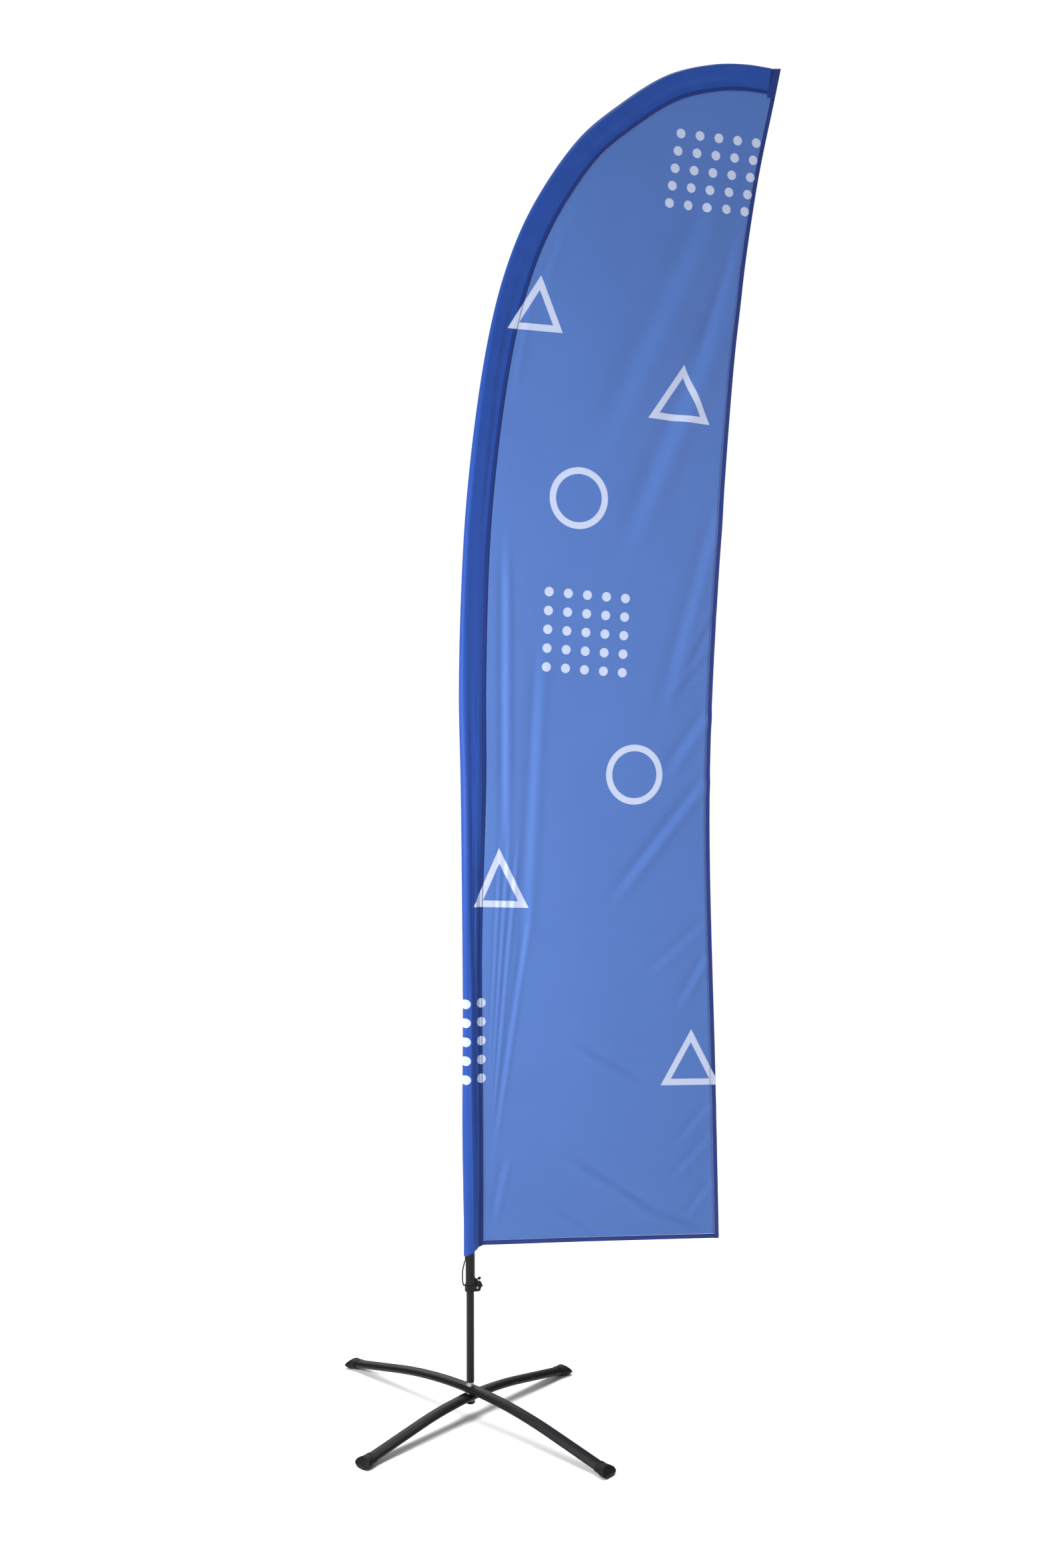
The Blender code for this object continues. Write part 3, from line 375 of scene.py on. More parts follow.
def panel():
    """The light cloth between the sleeve and the hems."""
    seam, free = panel_borders(PANEL_ROWS)
    near_seam = np.linspace(0, SEAM_SHARE, SEAM_COLUMNS, endpoint=False)
    share = np.concatenate([near_seam, np.linspace(SEAM_SHARE, 1.0, FREE_COLUMNS)])
    flat = seam[:, None, :] * (1 - share[None, :, None]) + free[:, None, :] * share[None, :, None]
    from_seam = np.linalg.norm(flat - seam[:, None, :], axis=-1)
    depth = cloth_depth(flat[..., 0], flat[..., 1], from_seam)
    points = np.stack([flat[..., 0] + FOOT_X, depth, flat[..., 1]], axis=-1)
    mesh = grid_mesh("flag_cloth", points, flat)
    obj = add_piece("flag_cloth", mesh, "flag", ["flag_panel"])
    thicken(obj, CLOTH)
    return obj


def hem_strip(name, node, outer, inner, thickness, width=HEM_WIDTH, calm=None):
    """A folded hem between two lines of (x, z) points: a flat loop of cloth with rounded edges."""
    turns = np.linspace(0, 2 * math.pi, 12, endpoint=False)
    across = 0.5 - 0.5 * np.cos(turns)
    thick = np.sign(np.sin(turns)) * np.abs(np.sin(turns)) ** 0.35 * thickness / 2
    thick[0] = thick[6] = 0
    flat = outer[:, None, :] * (1 - across[None, :, None]) + inner[:, None, :] * across[None, :, None]
    calm = near_hem(outer) if calm is None else calm
    depth = cloth_depth(flat[..., 0], flat[..., 1], np.full(flat.shape[:2], 1.0)) * calm[:, None]
    points = np.stack([flat[..., 0] + FOOT_X, depth + thick[None, :], flat[..., 1]], axis=-1)
    run = np.concatenate([[0], np.cumsum(np.linalg.norm(np.diff(outer, axis=0), axis=1))])
    uvs = np.stack(np.broadcast_arrays(across[None, :] * width, run[:, None]), axis=-1)
    mesh = grid_mesh(name, points, uvs, close=True)
    turn_out(mesh, len(turns))
    return add_piece(name, mesh, "flag", [node])


def near_hem(line):
    return eased((line[:, 0] - 0.03) / 0.035)


def turn_out(mesh, ends=0):
    """Close both ends of a loop of that many points, if any, and turn the faces outwards."""
    bm = bmesh.new()
    bm.from_mesh(mesh)
    if ends:
        bm.verts.ensure_lookup_table()
        bm.faces.new(bm.verts[:ends][::-1])
        bm.faces.new(bm.verts[-ends:])
    bmesh.ops.recalc_face_normals(bm, faces=bm.faces)
    bm.to_mesh(mesh)
    bm.free()


def hems():
    """Side hem, bottom hem and the patch over the pole's tip."""
    lengths = np.linspace(0, EDGE.length_at(PATCH_FOOT), 420)
    inset = edge_inset(lengths, HEM_WIDTH)
    side = hem_strip("hem_of_free_side", "side_hem", EDGE.at(lengths), inset, HEM_THICKNESS)
    foot = hem_foot()
    corner = edge_inset(np.array(0.0), HEM_WIDTH + EDGE_GAP)
    share = np.linspace(0, 1, 120)[:, None]
    low = foot * (1 - share) + np.array([corner[0], FREE_EDGE[0][1] + 0.0006]) * share
    bottom = hem_strip("hem_of_bottom", "bottom_hem", low, low + np.array([0, HEM_WIDTH]), HEM_THICKNESS)
    top = EDGE.at(np.linspace(EDGE.length_at(PATCH_FOOT + 0.0003), EDGE.total, 24))
    rise = np.linspace(0, 1, 24)
    inner = np.stack([PATCH_LEFT + 0.003 * rise**8, top[:, 1] + 0.002 - 0.006 * rise**3], axis=-1)
    calm = np.zeros(24)
    patch = hem_strip("tip_patch", "corner_patch", top, inner, PATCH_THICKNESS, PATCH_WIDTH, calm)
    return side, bottom, patch


def sleeve_section(radius, tail):
    """Teardrop round the pole that ends in the flat seam, as (towards the panel, across) points."""
    neck = tail - SEAM_FLAT
    lean = math.acos(min(radius / neck, 0.96))
    arc = np.linspace(lean, 2 * math.pi - lean, 25)
    loop = [(radius * math.cos(a), radius * math.sin(a)) for a in arc]
    sides = np.linspace(0, 1, 8)[1:]
    top, bottom = loop[0], loop[-1]
    near = [(bottom[0] + (neck - bottom[0]) * s, bottom[1] + (-SEAM_HALF - bottom[1]) * s) for s in sides]
    flat_out = [(neck + SEAM_FLAT * s, -SEAM_HALF) for s in (0.34, 0.67, 1.0)]
    flat_back = [(neck + SEAM_FLAT * s, SEAM_HALF) for s in (1.0, 0.67, 0.34)]
    far = [(top[0] + (neck - top[0]) * s, top[1] + (SEAM_HALF - top[1]) * s) for s in sides[::-1]]
    return np.array(loop + near + flat_out + flat_back + far)


def sleeve_wrinkles(out, across, length, radius, tail):
    """Slack of the sleeve's two sides: long creases low down, cross puckers round the bend."""
    share = np.clip((out + radius * 0.7) / (tail + radius * 0.7), 0, 1)
    side = np.sign(across)
    depth = 0.0010 * np.sin(length * 7.3 + 1.2 * side) * np.ones_like(share)
    for low, high, foot, head, half_width, height in SLEEVE_FOLDS:
        wander = 0.03 * math.sin(length * 9 + foot * 20)
        middle = foot + (head - foot) * (length - low) / (high - low) + wander
        fade = float(eased((length - low) / 0.15) * eased((high - length) / 0.15))
        ridge = np.exp(-(((share - middle) / half_width) ** 2))
        depth += FOLD_HEIGHT * height * fade * ridge * (1.0 - 0.35 * (side > 0))
    pucker = math.sin(length * 62 + 2.2 * math.sin(length * 17)) * float(eased((length - 1.9) / 0.5))
    depth += 0.0006 * pucker * np.sin(math.pi * share)
    return side * depth * eased(share / 0.15) * eased((1 - share) / 0.22)


def sleeve_bulge(length):
    """Slack that hangs out behind the pole, low down."""
    return sum(out * math.exp(-(((length - at) / half) ** 2)) for at, half, out in SLEEVE_BULGES)


def sleeve():
    """The dark pocket that the pole runs in."""
    first = first_seam_length()
    lengths = np.append(np.linspace(first, POLE.total, SLEEVE_ROWS), POLE.total + PAST_TIP)
    rings, uvs = [], []
    for length in lengths:
        inside = min(length, POLE.total)
        centre = POLE.at(inside) + POLE.along(inside) * (length - inside)
        radius, tail = float(sleeve_radius(inside)), float(seam_distance(np.array(inside)))
        section = sleeve_section(radius, tail)
        across = section[:, 1] + sleeve_wrinkles(section[:, 0], section[:, 1], length, radius, tail)
        slack = sleeve_bulge(length) * np.clip(-section[:, :1] / radius, 0, 1)
        flat = centre + inward(np.array(inside)) * (section[:, :1] - slack)
        rings.append(np.stack([flat[:, 0] + FOOT_X, across, flat[:, 1]], axis=-1))
        uvs.append(np.stack([tail - section[:, 0], np.full(len(section), length)], axis=-1))
    start = rings[0]
    cut = start.copy()
    cut[:, 2] = SLEEVE_BOTTOM + SLEEVE_SLANT * (cut[:, 0] - cut[:, 0].min())
    shares = np.linspace(0, 1, LEAD_ROWS, endpoint=False)
    lead = [cut * (1 - share) + start * share for share in shares]
    lead_uvs = [uvs[0] - np.array([0, LEAD_LENGTH * (1 - share)]) for share in shares]
    mesh = grid_mesh("sleeve", np.array(lead + rings), np.array(lead_uvs + uvs), close=True)
    turn_out(mesh)
    obj = add_piece("sleeve", mesh, "flag", ["flag_sleeve"])
    thicken(obj, SLEEVE_CLOTH, offset=-1)
    return obj


# Base


def lay_down():
    """Leave edit mode and let go of everything before the next piece is begun."""
    if bpy.context.object and bpy.context.object.mode != "OBJECT":
        bpy.ops.object.mode_set(mode="OBJECT")
    bpy.ops.object.select_all(action="DESELECT")


def choose(obj, wanted):
    """Select the faces whose middle the test wants."""
    bpy.ops.mesh.select_mode(type="FACE")
    bpy.ops.mesh.select_all(action="DESELECT")
    edit = bmesh.from_edit_mesh(obj.data)
    for face in edit.faces:
        face.select_set(wanted(obj.matrix_world @ face.calc_center_median()))
    bmesh.update_edit_mesh(obj.data)


def drawn_out(name, rings):
    """An oval drawn out along X through rings of (x, middle height, half width, half height)."""
    lay_down()
    x, z, wide, high = rings[0]
    bpy.ops.mesh.primitive_circle_add(
        vertices=OVAL_SIDES, radius=wide, fill_type="NGON", location=(x, 0, z), rotation=(0, math.pi / 2, 0)
    )
    obj = bpy.context.object
    obj.name = name
    bpy.context.view_layer.update()
    bpy.ops.object.mode_set(mode="EDIT")
    bpy.ops.mesh.select_all(action="SELECT")
    bpy.ops.transform.resize(value=(1, 1, high / wide), center_override=(x, 0, z))
    for (x0, z0, wide0, high0), (x1, z1, wide1, high1) in zip(rings, rings[1:]):
        bpy.ops.mesh.extrude_region_move(TRANSFORM_OT_translate={"value": (x1 - x0, 0, z1 - z0)})
        bpy.ops.transform.resize(value=(1, wide1 / wide0, high1 / high0), center_override=(x1, 0, z1))
    bpy.ops.mesh.select_all(action="SELECT")
    bpy.ops.mesh.normals_make_consistent(inside=False)
    return obj


def soften(obj, width):
    """Break the sharp edges, and shade the rest smooth."""
    bpy.ops.object.mode_set(mode="OBJECT")
    rim = obj.modifiers.new("broken_edges", "BEVEL")
    rim.width = width
    rim.segments = 2
    rim.limit_method = "ANGLE"
    rim.angle_limit = EDGE_ANGLE
    bpy.ops.object.modifier_apply(modifier=rim.name)
    bpy.ops.object.shade_smooth_by_angle(angle=SMOOTH_ANGLE)


def stand(obj, turn):
    """Turn a piece made along X to its place round the pivot."""
    bpy.ops.object.transform_apply(location=True, rotation=True, scale=True)
    obj.location = (FOOT_X, 0, 0)
    obj.rotation_euler = (0, 0, turn)
    bpy.ops.object.transform_apply(location=True, rotation=True, scale=True)


def arm_fall(hub, reach):
    """Steepest fall of an arm for each unit outwards, which its last straight stretch keeps."""
    return (hub - LEG_END_HEIGHT) / (reach - (reach - LEG_STRAIGHT) / 2)


def arm_height(away, hub, reach):
    arc = reach - LEG_STRAIGHT
    bent = min(away, arc)
    return hub - arm_fall(hub, reach) * (bent * bent / (2 * arc) + max(away - arc, 0))


def leg(name, node, body, hub, reach, turn):
    """One arched oval tube, pressed flat above and below where the bolt goes through."""
    rings = []
    for x in np.linspace(-reach, reach, LEG_RINGS).tolist():
        lean = math.atan(arm_fall(hub, reach) * min(abs(x) / (reach - LEG_STRAIGHT), 1))
        half_height = LEG_HEIGHT / 2 / math.cos(lean)
        rings.append((x, arm_height(abs(x), hub, reach), LEG_WIDTH / 2, half_height))
    obj = drawn_out(name, rings)
    for side in (1, -1):
        level = hub + side * LEG_FLAT_HEIGHT / 2
        above = LEG_FLAT_HEIGHT * PRESSED_SHARE
        choose(obj, lambda c: abs(c.x) < LEG_FLAT_REACH and (c.z - hub) * side > above)
        bpy.ops.transform.resize(value=(1, 1, 0), center_override=(0, 0, level))
    soften(obj, TUBE_EDGE)
    stand(obj, turn)
    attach(obj, body)
    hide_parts(node)
    return obj


def foot(name, node, body, hub, reach, turn):
    """A moulded cap over a tube's end: ribbed sleeve, flared heel, flat sole and sloping toe."""
    fall = arm_fall(hub, reach)
    rings = []
    for along, wide in FOOT_OUTLINE:
        x = reach + along
        rings.append((x, LEG_END_HEIGHT - fall * min(along, 0.0), wide, wide * LEG_HEIGHT / LEG_WIDTH))
    obj = drawn_out(name, rings)
    toe_out = (math.cos(TOE_SLANT), 0, math.sin(TOE_SLANT))
    for point, out in (((0, 0, 0), (0, 0, -1)), ((reach + FOOT_OUTLINE[-1][0], 0, TOE_LIP), toe_out)):
        bpy.ops.mesh.select_all(action="SELECT")
        bpy.ops.mesh.bisect(plane_co=point, plane_no=out, clear_outer=True, use_fill=True)
    soften(obj, FOOT_EDGE)
    stand(obj, turn)
    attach(obj, body)
    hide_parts(node)
    return obj


def base():
    """Two crossed legs and their four feet."""
    lower = ("base", LOWER_HUB, LOWER_REACH)
    upper = ("upper_leg", UPPER_HUB, UPPER_REACH)
    legs = [
        leg("lower_tube", "lower_leg_tube", *lower, LOWER_TURN),
        leg("upper_tube", "upper_leg_tube", *upper, UPPER_TURN),
    ]
    feet = [
        foot("lower_back_foot", "lower_leg_back_cap", *lower, LOWER_TURN),
        foot("lower_front_foot", "lower_leg_front_cap", *lower, LOWER_TURN + math.pi),
        foot("upper_front_foot", "upper_leg_front_cap", *upper, UPPER_TURN),
        foot("upper_back_foot", "upper_leg_back_cap", *upper, UPPER_TURN + math.pi),
    ]
    return legs, feet


# Tension cord and its tab


def cord_line():
    """The elastic's centre line from the tab's end, round the collar, to the knot."""
    points = smooth_line(CORD_ROUTE, per_span=4)
    points[:, 0] += FOOT_X
    return points


def elastic_tube(name, points, radius, closed, node):
    """Round elastic along the points, as a mesh."""
    data = bpy.data.curves.new(name, "CURVE")
    data.dimensions = "3D"
    data.bevel_depth = radius
    data.bevel_resolution = 4
    data.use_fill_caps = not closed
    spline = data.splines.new("POLY")
    spline.points.add(len(points) - 1)
    for point, place in zip(spline.points, points):
        point.co = (*place, 1)
    spline.use_cyclic_u = closed
    obj = bpy.data.objects.new(name, data)
    bpy.context.scene.collection.objects.link(obj)
    lay_down()
    obj.select_set(True)
    bpy.context.view_layer.objects.active = obj
    bpy.ops.object.convert(target="MESH")
    bpy.ops.object.shade_smooth()
    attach(obj, "flag")
    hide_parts(node)
    return obj


def knot():
    """The elastic's end, tied in a tight overhand knot on the collar's lug."""
    low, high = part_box("cord_knot")
    middle = np.array((low + high) / 2)
    t = np.linspace(0, 2 * math.pi, 72, endpoint=False)
    across, deep, up = np.sin(t) + 2 * np.sin(2 * t), -1.4 * np.sin(3 * t), np.cos(t) - 2 * np.cos(2 * t)
    loops = middle + np.stack([across, deep, up], axis=-1) * KNOT_LOOP
    return elastic_tube("elastic_knot", loops, KNOT_STRAND, True, "cord_knot")


def tension_cord():
    """Thin round elastic that pulls the sleeve down to the collar, and its knot."""
    points = cord_line()
    obj = elastic_tube("tension_elastic", points, CORD_DIAMETER / 2, False, "tension_cord")
    end = knot()
    return obj, end


def tab():
    """A short loop of webbing that hangs out of the sleeve's foot."""
    low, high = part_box("cord_tab")
    middle = (low + high) / 2
    half = (high - low) / 2
    turns = np.linspace(0, 2 * math.pi, 16, endpoint=False)
    wide = np.sign(np.sin(turns)) * np.abs(np.sin(turns)) ** 0.5 * half.y
    thick = np.sign(np.cos(turns)) * np.abs(np.cos(turns)) ** 0.5 * half.x
    heights = np.linspace(low.z, high.z, 24)
    up = heights[:, None]
    places = np.broadcast_arrays(middle.x + thick[None, :], middle.y + wide[None, :], up)
    points = np.stack(places, axis=-1)
    uvs = np.stack(np.broadcast_arrays(wide[None, :], up), axis=-1)
    mesh = grid_mesh("webbing_tab", points, uvs, close=True)
    turn_out(mesh, len(turns))
    return add_piece("webbing_tab", mesh, "flag", ["cord_tab"])


# Materials


class Value:
    """A number on a shader socket, so that sums are written as Python expressions."""

    def __init__(self, look, socket):
        self.look = look
        self.socket = socket

    def math(self, operation, *values):
        node = self.look.node("ShaderNodeMath", {"operation": operation}, dict(enumerate(values)))
        return Value(self.look, node.outputs[0])

    def __add__(self, other):
        return self.math("ADD", self, other)

    __radd__ = __add__

    def __sub__(self, other):
        return self.math("SUBTRACT", self, other)

    def __rsub__(self, other):
        return self.math("SUBTRACT", other, self)

    def __mul__(self, other):
        return self.math("MULTIPLY", self, other)

    __rmul__ = __mul__

    def __abs__(self):
        return self.math("ABSOLUTE", self)

    def least(self, other):
        return self.math("MINIMUM", self, other)

    def most(self, other):
        return self.math("MAXIMUM", self, other)

    def rounded(self):
        return self.math("ROUND", self)

    def sine(self):
        return self.math("SINE", self)

    def root(self):
        return self.math("SQRT", self)

    def below(self, limit, soft=0.0004):
        """1 where the value is under the limit and 0 where it is over, with a soft step between."""
        inputs = {"Value": self, "From Min": limit - soft, "From Max": limit + soft}
        inputs.update({"To Min": 1.0, "To Max": 0.0})
        return Value(self.look, self.look.node("ShaderNodeMapRange", {"clamp": True}, inputs).outputs[0])


class Look:
    """One material and the nodes in it."""

    def __init__(self, name, **constants):
        self.material = bpy.data.materials.new(name)
        self.material.use_nodes = True
        self.tree = self.material.node_tree
        self.shader = self.tree.nodes["Principled BSDF"]
        for socket, value in constants.items():
            self.shader.inputs[socket.replace("_", " ")].default_value = value

    def node(self, kind, settings=None, inputs=None):
        node = self.tree.nodes.new(kind)
        for key, value in (settings or {}).items():
            setattr(node, key, value)
        for key, value in (inputs or {}).items():
            self.feed(node.inputs[key], value)
        return node

    def feed(self, socket, value):
        if isinstance(value, Value):
            self.tree.links.new(value.socket, socket)
        else:
            socket.default_value = value

    def colour_mix(self, share, a, b):
        settings = {"data_type": "RGBA"}
        return Value(self, self.node("ShaderNodeMix", settings, {0: share, 6: a, 7: b}).outputs[2])

    def place(self):
        """Object coordinates, and their three numbers."""
        where = Value(self, self.node("ShaderNodeTexCoord").outputs["Object"])
        parts = self.node("ShaderNodeSeparateXYZ", None, {0: where})
        return where, [Value(self, output) for output in parts.outputs]

    def lie(self):
        """The two numbers of the cloth's own UV map."""
        where = Value(self, self.node("ShaderNodeUVMap", {"uv_map": "cloth"}).outputs[0])
        parts = self.node("ShaderNodeSeparateXYZ", None, {0: where})
        return where, [Value(self, output) for output in parts.outputs[:2]]

    def noise(self, where, scale, detail=3.0, roughness=0.5):
        inputs = {"Vector": where, "Scale": scale, "Detail": detail, "Roughness": roughness}
        return Value(self, self.node("ShaderNodeTexNoise", None, inputs).outputs[0])

    def bump(self, height, distance, strength=1.0):
        inputs = {"Height": height, "Distance": distance, "Strength": strength}
        node = self.node("ShaderNodeBump", None, inputs)
        self.feed(self.shader.inputs["Normal"], Value(self, node.outputs[0]))

    def colour(self, value):
        self.feed(self.shader.inputs["Base Color"], value)

    def roughness(self, value):
        self.feed(self.shader.inputs["Roughness"], value)


def linear(red, green, blue):
    """Screen colour out of 255 as linear light."""
    def one(c):
        c /= 255
        return c / 12.92 if c <= 0.04045 else ((c + 0.055) / 1.055) ** 2.4
    return (one(red), one(green), one(blue), 1.0)


# Spacing of threads, stitches and braid, and the scale of a moulded surface's grain
RIB_PITCH = 0.0016
ROW_PITCH = 0.0021
STITCH_PITCH = 0.0036
THREAD_HALF = 0.00045
BRAID_PITCH = 0.0012
GRAIN = 300.0

# Printed pattern, as (x, z) from the pole's foot
TRIANGLES = (
    ((0.184, 2.848), (0.098, 2.715), (0.239, 2.711)),
    ((0.561, 2.652), (0.464, 2.515), (0.629, 2.504)),
    ((0.076, 1.439), (0.009, 1.295), (0.152, 1.287)),
    ((0.589, 0.956), (0.505, 0.815), (0.668, 0.806)),
)
RINGS = ((0.283, 2.309), (0.434, 1.617))
RING_RADIUS = 0.068
STROKE = 0.0165
DOT_GRIDS = (  # first dot, step across, step down, dots across
    ((0.550, 3.224), (0.0513, -0.0010), (-0.0078, -0.0436), 5),
    ((0.206, 2.076), (0.0505, -0.0034), (-0.0018, -0.0467), 5),
    ((-0.013, 1.054), (0.0420, 0.0), (0.0, -0.0475), 2),
)
DOTS_DOWN = 5
DOT_RADIUS = 0.0118


def outline_mask(x, z, corners):
    """A triangle drawn with a mitred stroke inside its outer corners."""
    middle = np.mean(corners, axis=0)
    out = None
    for a, b in zip(corners, corners[1:] + corners[:1]):
        run = np.subtract(b, a) / np.linalg.norm(np.subtract(b, a))
        normal = np.array([run[1], -run[0]])
        if normal @ (middle - a) > 0:
            normal = -normal
        side = x * float(normal[0]) + z * float(normal[1]) - float(normal @ a)
        out = side if out is None else out.most(side)
    return out.below(0.0) - out.below(-STROKE)


def ring_mask(x, z, centre):
    dx, dz = x - centre[0], z - centre[1]
    return abs((dx * dx + dz * dz).root() - RING_RADIUS).below(STROKE / 2)


def dots_mask(x, z, first, across, down, count):
    """A grid of dots with a step across and a step down."""
    spread = np.linalg.inv(np.array([across, down]).T)
    dx, dz = x - first[0], z - first[1]
    column = dx * float(spread[0, 0]) + dz * float(spread[0, 1])
    row = dx * float(spread[1, 0]) + dz * float(spread[1, 1])
    off_column = column - column.rounded().most(0.0).least(float(count - 1))
    off_row = row - row.rounded().most(0.0).least(float(DOTS_DOWN - 1))
    px = off_column * across[0] + off_row * down[0]
    pz = off_column * across[1] + off_row * down[1]
    return (px * px + pz * pz).root().below(DOT_RADIUS)


def printed(look):
    """Where the pale pattern is printed."""
    _, (x, _, z) = look.place()
    x = x - FOOT_X
    mask = None
    for corners in TRIANGLES:
        shape = outline_mask(x, z, corners)
        mask = shape if mask is None else mask + shape
    for centre in RINGS:
        mask = mask + ring_mask(x, z, centre)
    for first, across, down, count in DOT_GRIDS:
        mask = mask + dots_mask(x, z, first, across, down, count)
    return mask.least(1.0)


def knit(look, lie):
    """Fine knitted ribs with the odd thick thread."""
    where, (across, along) = lie
    ribs = (across * (2 * math.pi / RIB_PITCH)).sine() * 0.5 + 0.5
    rows = (along * (2 * math.pi / ROW_PITCH)).sine() * 0.5 + 0.5
    slub = look.noise(where, 420.0, 2.0)
    return ribs * 0.45 + rows * 0.35 + slub * 0.4


def stitching(lie, rows):
    """Dashes of thread along the given distances from the cloth's edge."""
    across, along = lie[1]
    dash = (along * (2 * math.pi / STITCH_PITCH)).sine().below(0.45, 0.25)
    mask = None
    for row in rows:
        line = abs(across - row).below(THREAD_HALF, 0.0002) * dash
        mask = line if mask is None else mask + line
    return mask


def cloth_look(name, deep, pale, print_colour, strip=None, rows=()):
    """Dye-printed polyester: knit bump, faint blotches, stitched edges and a soft sheen."""
    look = Look(name, Sheen_Weight=0.06, Sheen_Roughness=0.5, Specular_IOR_Level=0.2)
    lie = look.lie()
    where, _ = look.place()
    blotch = look.noise(where, 5.0, 4.0, 0.6)
    base = look.colour_mix(blotch, deep, pale)
    if strip is not None:
        base = look.colour_mix(lie[1][0].below(SEAM_FLAT, 0.0012), base, strip)
    pattern = printed(look)
    base = look.colour_mix(pattern, base, print_colour)
    height = knit(look, lie)
    if rows:
        stitches = stitching(lie, rows)
        base = look.colour_mix(stitches * 0.8, base, linear(24, 44, 104))
        height = height - stitches * 1.5
    look.colour(base)
    look.roughness(0.48 + look.noise(where, 60.0) * 0.12)
    look.bump(height, 0.0002, 0.6)
    return look.material


def plain_look(name, deep, pale, rough, grain, metallic=0.0, depth=0.0001, shine=0.5):
    """A moulded, painted or plated finish with a fine grain and slight wear."""
    look = Look(name, Metallic=metallic, Specular_IOR_Level=shine)
    where, _ = look.place()
    look.colour(look.colour_mix(look.noise(where, GRAIN * 0.15, 5.0), deep, pale))
    look.roughness(rough + look.noise(where, GRAIN * 0.4, 4.0) * grain)
    look.bump(look.noise(where, GRAIN * 4, 2.0), depth, 0.5)
    return look.material


def paint_look():
    """Baked black paint with a fine orange peel, and greyer scuffs where the tubes rub."""
    look = Look("black_paint", Specular_IOR_Level=0.22)
    where, _ = look.place()
    scuffs = look.noise(where, 38.0, 6.0, 0.7).below(0.36, 0.05)
    body = look.colour_mix(look.noise(where, 12.0, 3.0), linear(10, 11, 12), linear(16, 17, 19))
    look.colour(look.colour_mix(scuffs * 0.5, body, linear(34, 35, 38)))
    look.roughness(0.36 + look.noise(where, 220.0, 3.0) * 0.1 + scuffs * 0.12)
    look.bump(look.noise(where, 900.0, 2.0) + scuffs * 0.3, 0.00012, 0.5)
    return look.material


def webbing_look():
    """Black elastic with a braided rib round it."""
    look = Look("black_elastic", Specular_IOR_Level=0.15)
    where, (x, y, z) = look.place()
    rib = ((z + x * 0.4 + y * 0.4) * (2 * math.pi / BRAID_PITCH)).sine() * 0.5 + 0.5
    look.colour(look.colour_mix(rib, linear(9, 9, 10), linear(24, 24, 26)))
    look.roughness(0.6 + look.noise(where, 300.0) * 0.2)
    look.bump(rib, 0.0002, 0.7)
    return look.material


def dress(obj, material):
    obj.data.materials.clear()
    obj.data.materials.append(material)


def materials():
    white = linear(178, 190, 216)
    light = cloth_look("panel_knit", linear(71, 105, 171), linear(77, 111, 177), white)
    dark = cloth_look("sleeve_knit", linear(25, 63, 141), linear(31, 71, 153), white, linear(18, 46, 116),
                      (0.0022, 0.0072))
    hem = cloth_look("hem_knit", linear(26, 48, 114), linear(32, 56, 124), white, None, (0.0098,))
    steel = paint_look()
    plastic = plain_look("black_moulding", linear(9, 9, 10), linear(17, 17, 19), 0.48, 0.14, depth=0.00012,
                         shine=0.2)
    elastic = webbing_look()
    zinc = plain_look("zinc_plate", linear(170, 172, 176), linear(205, 206, 208), 0.25, 0.2, 1.0)
    nylon = plain_look("natural_nylon", linear(205, 202, 190), linear(222, 219, 208), 0.45, 0.1)
    return {"light": light, "dark": dark, "hem": hem, "steel": steel, "plastic": plastic, "zinc": zinc,
            "nylon": nylon, "elastic": elastic}


# Studio


def camera():
    data = bpy.data.cameras.new("camera")
    data.lens = CAMERA_LENS
    data.sensor_width = 36
    cam = bpy.data.objects.new("camera", data)
    cam.location = (FOOT_X + CAMERA_PLACE[0], CAMERA_PLACE[1], CAMERA_PLACE[2])
    cam.rotation_euler = (math.pi / 2 - CAMERA_DIP, 0, CAMERA_TURN)
    bpy.context.scene.collection.objects.link(cam)
    bpy.context.scene.camera = cam


def area_light(name, place, aim, size, power, tint):
    data = bpy.data.lights.new(name, "AREA")
    data.shape = "RECTANGLE"
    data.size, data.size_y = size
    data.energy = power
    data.color = tint
    light = bpy.data.objects.new(name, data)
    light.location = place
    light.rotation_euler = (aim - place).to_track_quat("-Z", "Y").to_euler()
    bpy.context.scene.collection.objects.link(light)


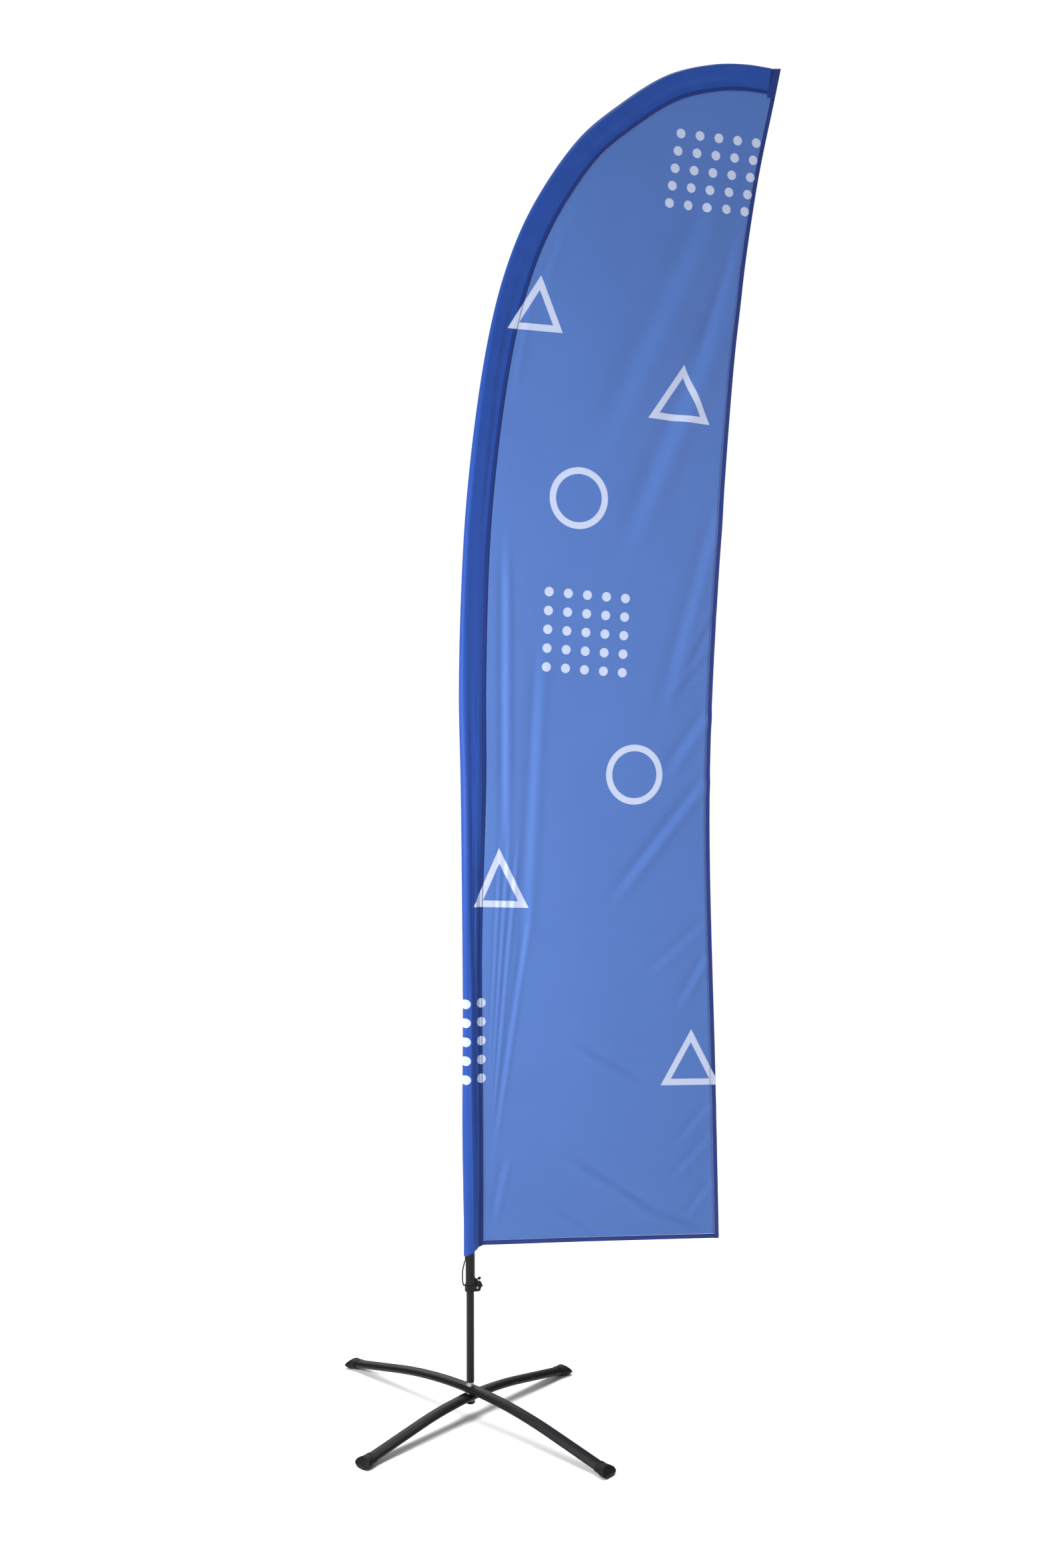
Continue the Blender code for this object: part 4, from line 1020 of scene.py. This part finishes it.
def studio():
    """White surround, key light on the left, warm fill on the right, and light straight down on the floor."""
    world = bpy.data.worlds.new("studio")
    bpy.context.scene.world = world
    world.use_nodes = True
    nodes, links = world.node_tree.nodes, world.node_tree.links
    shown = nodes.new("ShaderNodeBackground")
    shown.inputs["Strength"].default_value = BACKDROP
    shown.inputs["Color"].default_value = (1, 1, 1, 1)
    lit = nodes["Background"]
    lit.inputs["Color"].default_value = (0.96, 0.98, 1, 1)
    lit.inputs["Strength"].default_value = SURROUND
    mix = nodes.new("ShaderNodeMixShader")
    links.new(nodes.new("ShaderNodeLightPath").outputs["Is Camera Ray"], mix.inputs[0])
    links.new(lit.outputs[0], mix.inputs[1])
    links.new(shown.outputs[0], mix.inputs[2])
    links.new(mix.outputs[0], nodes["World Output"].inputs["Surface"])
    for name, place, aim, size, power, tint in LIGHTS:
        area_light(name, Vector(place), Vector(aim), size, power, tint)
    data = bpy.data.lights.new("overhead", "SUN")
    data.energy = OVERHEAD
    data.angle = OVERHEAD_SPREAD
    overhead = bpy.data.objects.new("overhead", data)
    bpy.context.scene.collection.objects.link(overhead)
    mesh = bpy.data.meshes.new("floor")
    corners = [(x * FLOOR_HALF, y * FLOOR_HALF, 0) for x, y in ((-1, -1), (1, -1), (1, 1), (-1, 1))]
    mesh.from_pydata(corners, [], [(0, 1, 2, 3)])
    floor = bpy.data.objects.new("floor", mesh)
    bpy.context.scene.collection.objects.link(floor)
    floor.location.z = -FLOOR_DROP
    look = Look("pale_floor", Roughness=0.8, Specular_IOR_Level=0.1)
    where, _ = look.place()
    look.colour(look.colour_mix(look.noise(where, 3.0), (0.94, 0.94, 0.94, 1), (0.95, 0.95, 0.95, 1)))
    dress(floor, look.material)
    bpy.context.scene.view_settings.view_transform = "Standard"


def write_sizes():
    bpy.context.view_layer.update()


camera()
cord, cord_end = tension_cord()
studio()
finishes = materials()
dress(cord, finishes["elastic"])
dress(cord_end, finishes["elastic"])
dress(tab(), finishes["elastic"])

cloth, pocket = panel(), sleeve()
hem_pieces = hems()
dress(cloth, finishes["light"])
dress(pocket, finishes["dark"])
for piece in hem_pieces:
    dress(piece, finishes["hem"])

tubes, feet = base()
for piece in tubes:
    dress(piece, finishes["steel"])
for piece in feet:
    dress(piece, finishes["plastic"])

NODE_FINISHES = {"black_steel": "steel", "black_plastic": "plastic", "zinc": "zinc", "nylon": "nylon",
                 "dark_cloth": "hem", "elastic": "elastic", "fibreglass": "steel", "bright_metal": "zinc"}
node_slots = {part["node"]: part["material_slot"] for part in frame["record"]["subparts"]}
for node, obj in frame["nodes"].items():
    if not obj.hide_render:
        dress(obj, finishes[NODE_FINISHES[node_slots[node]]])

write_sizes()
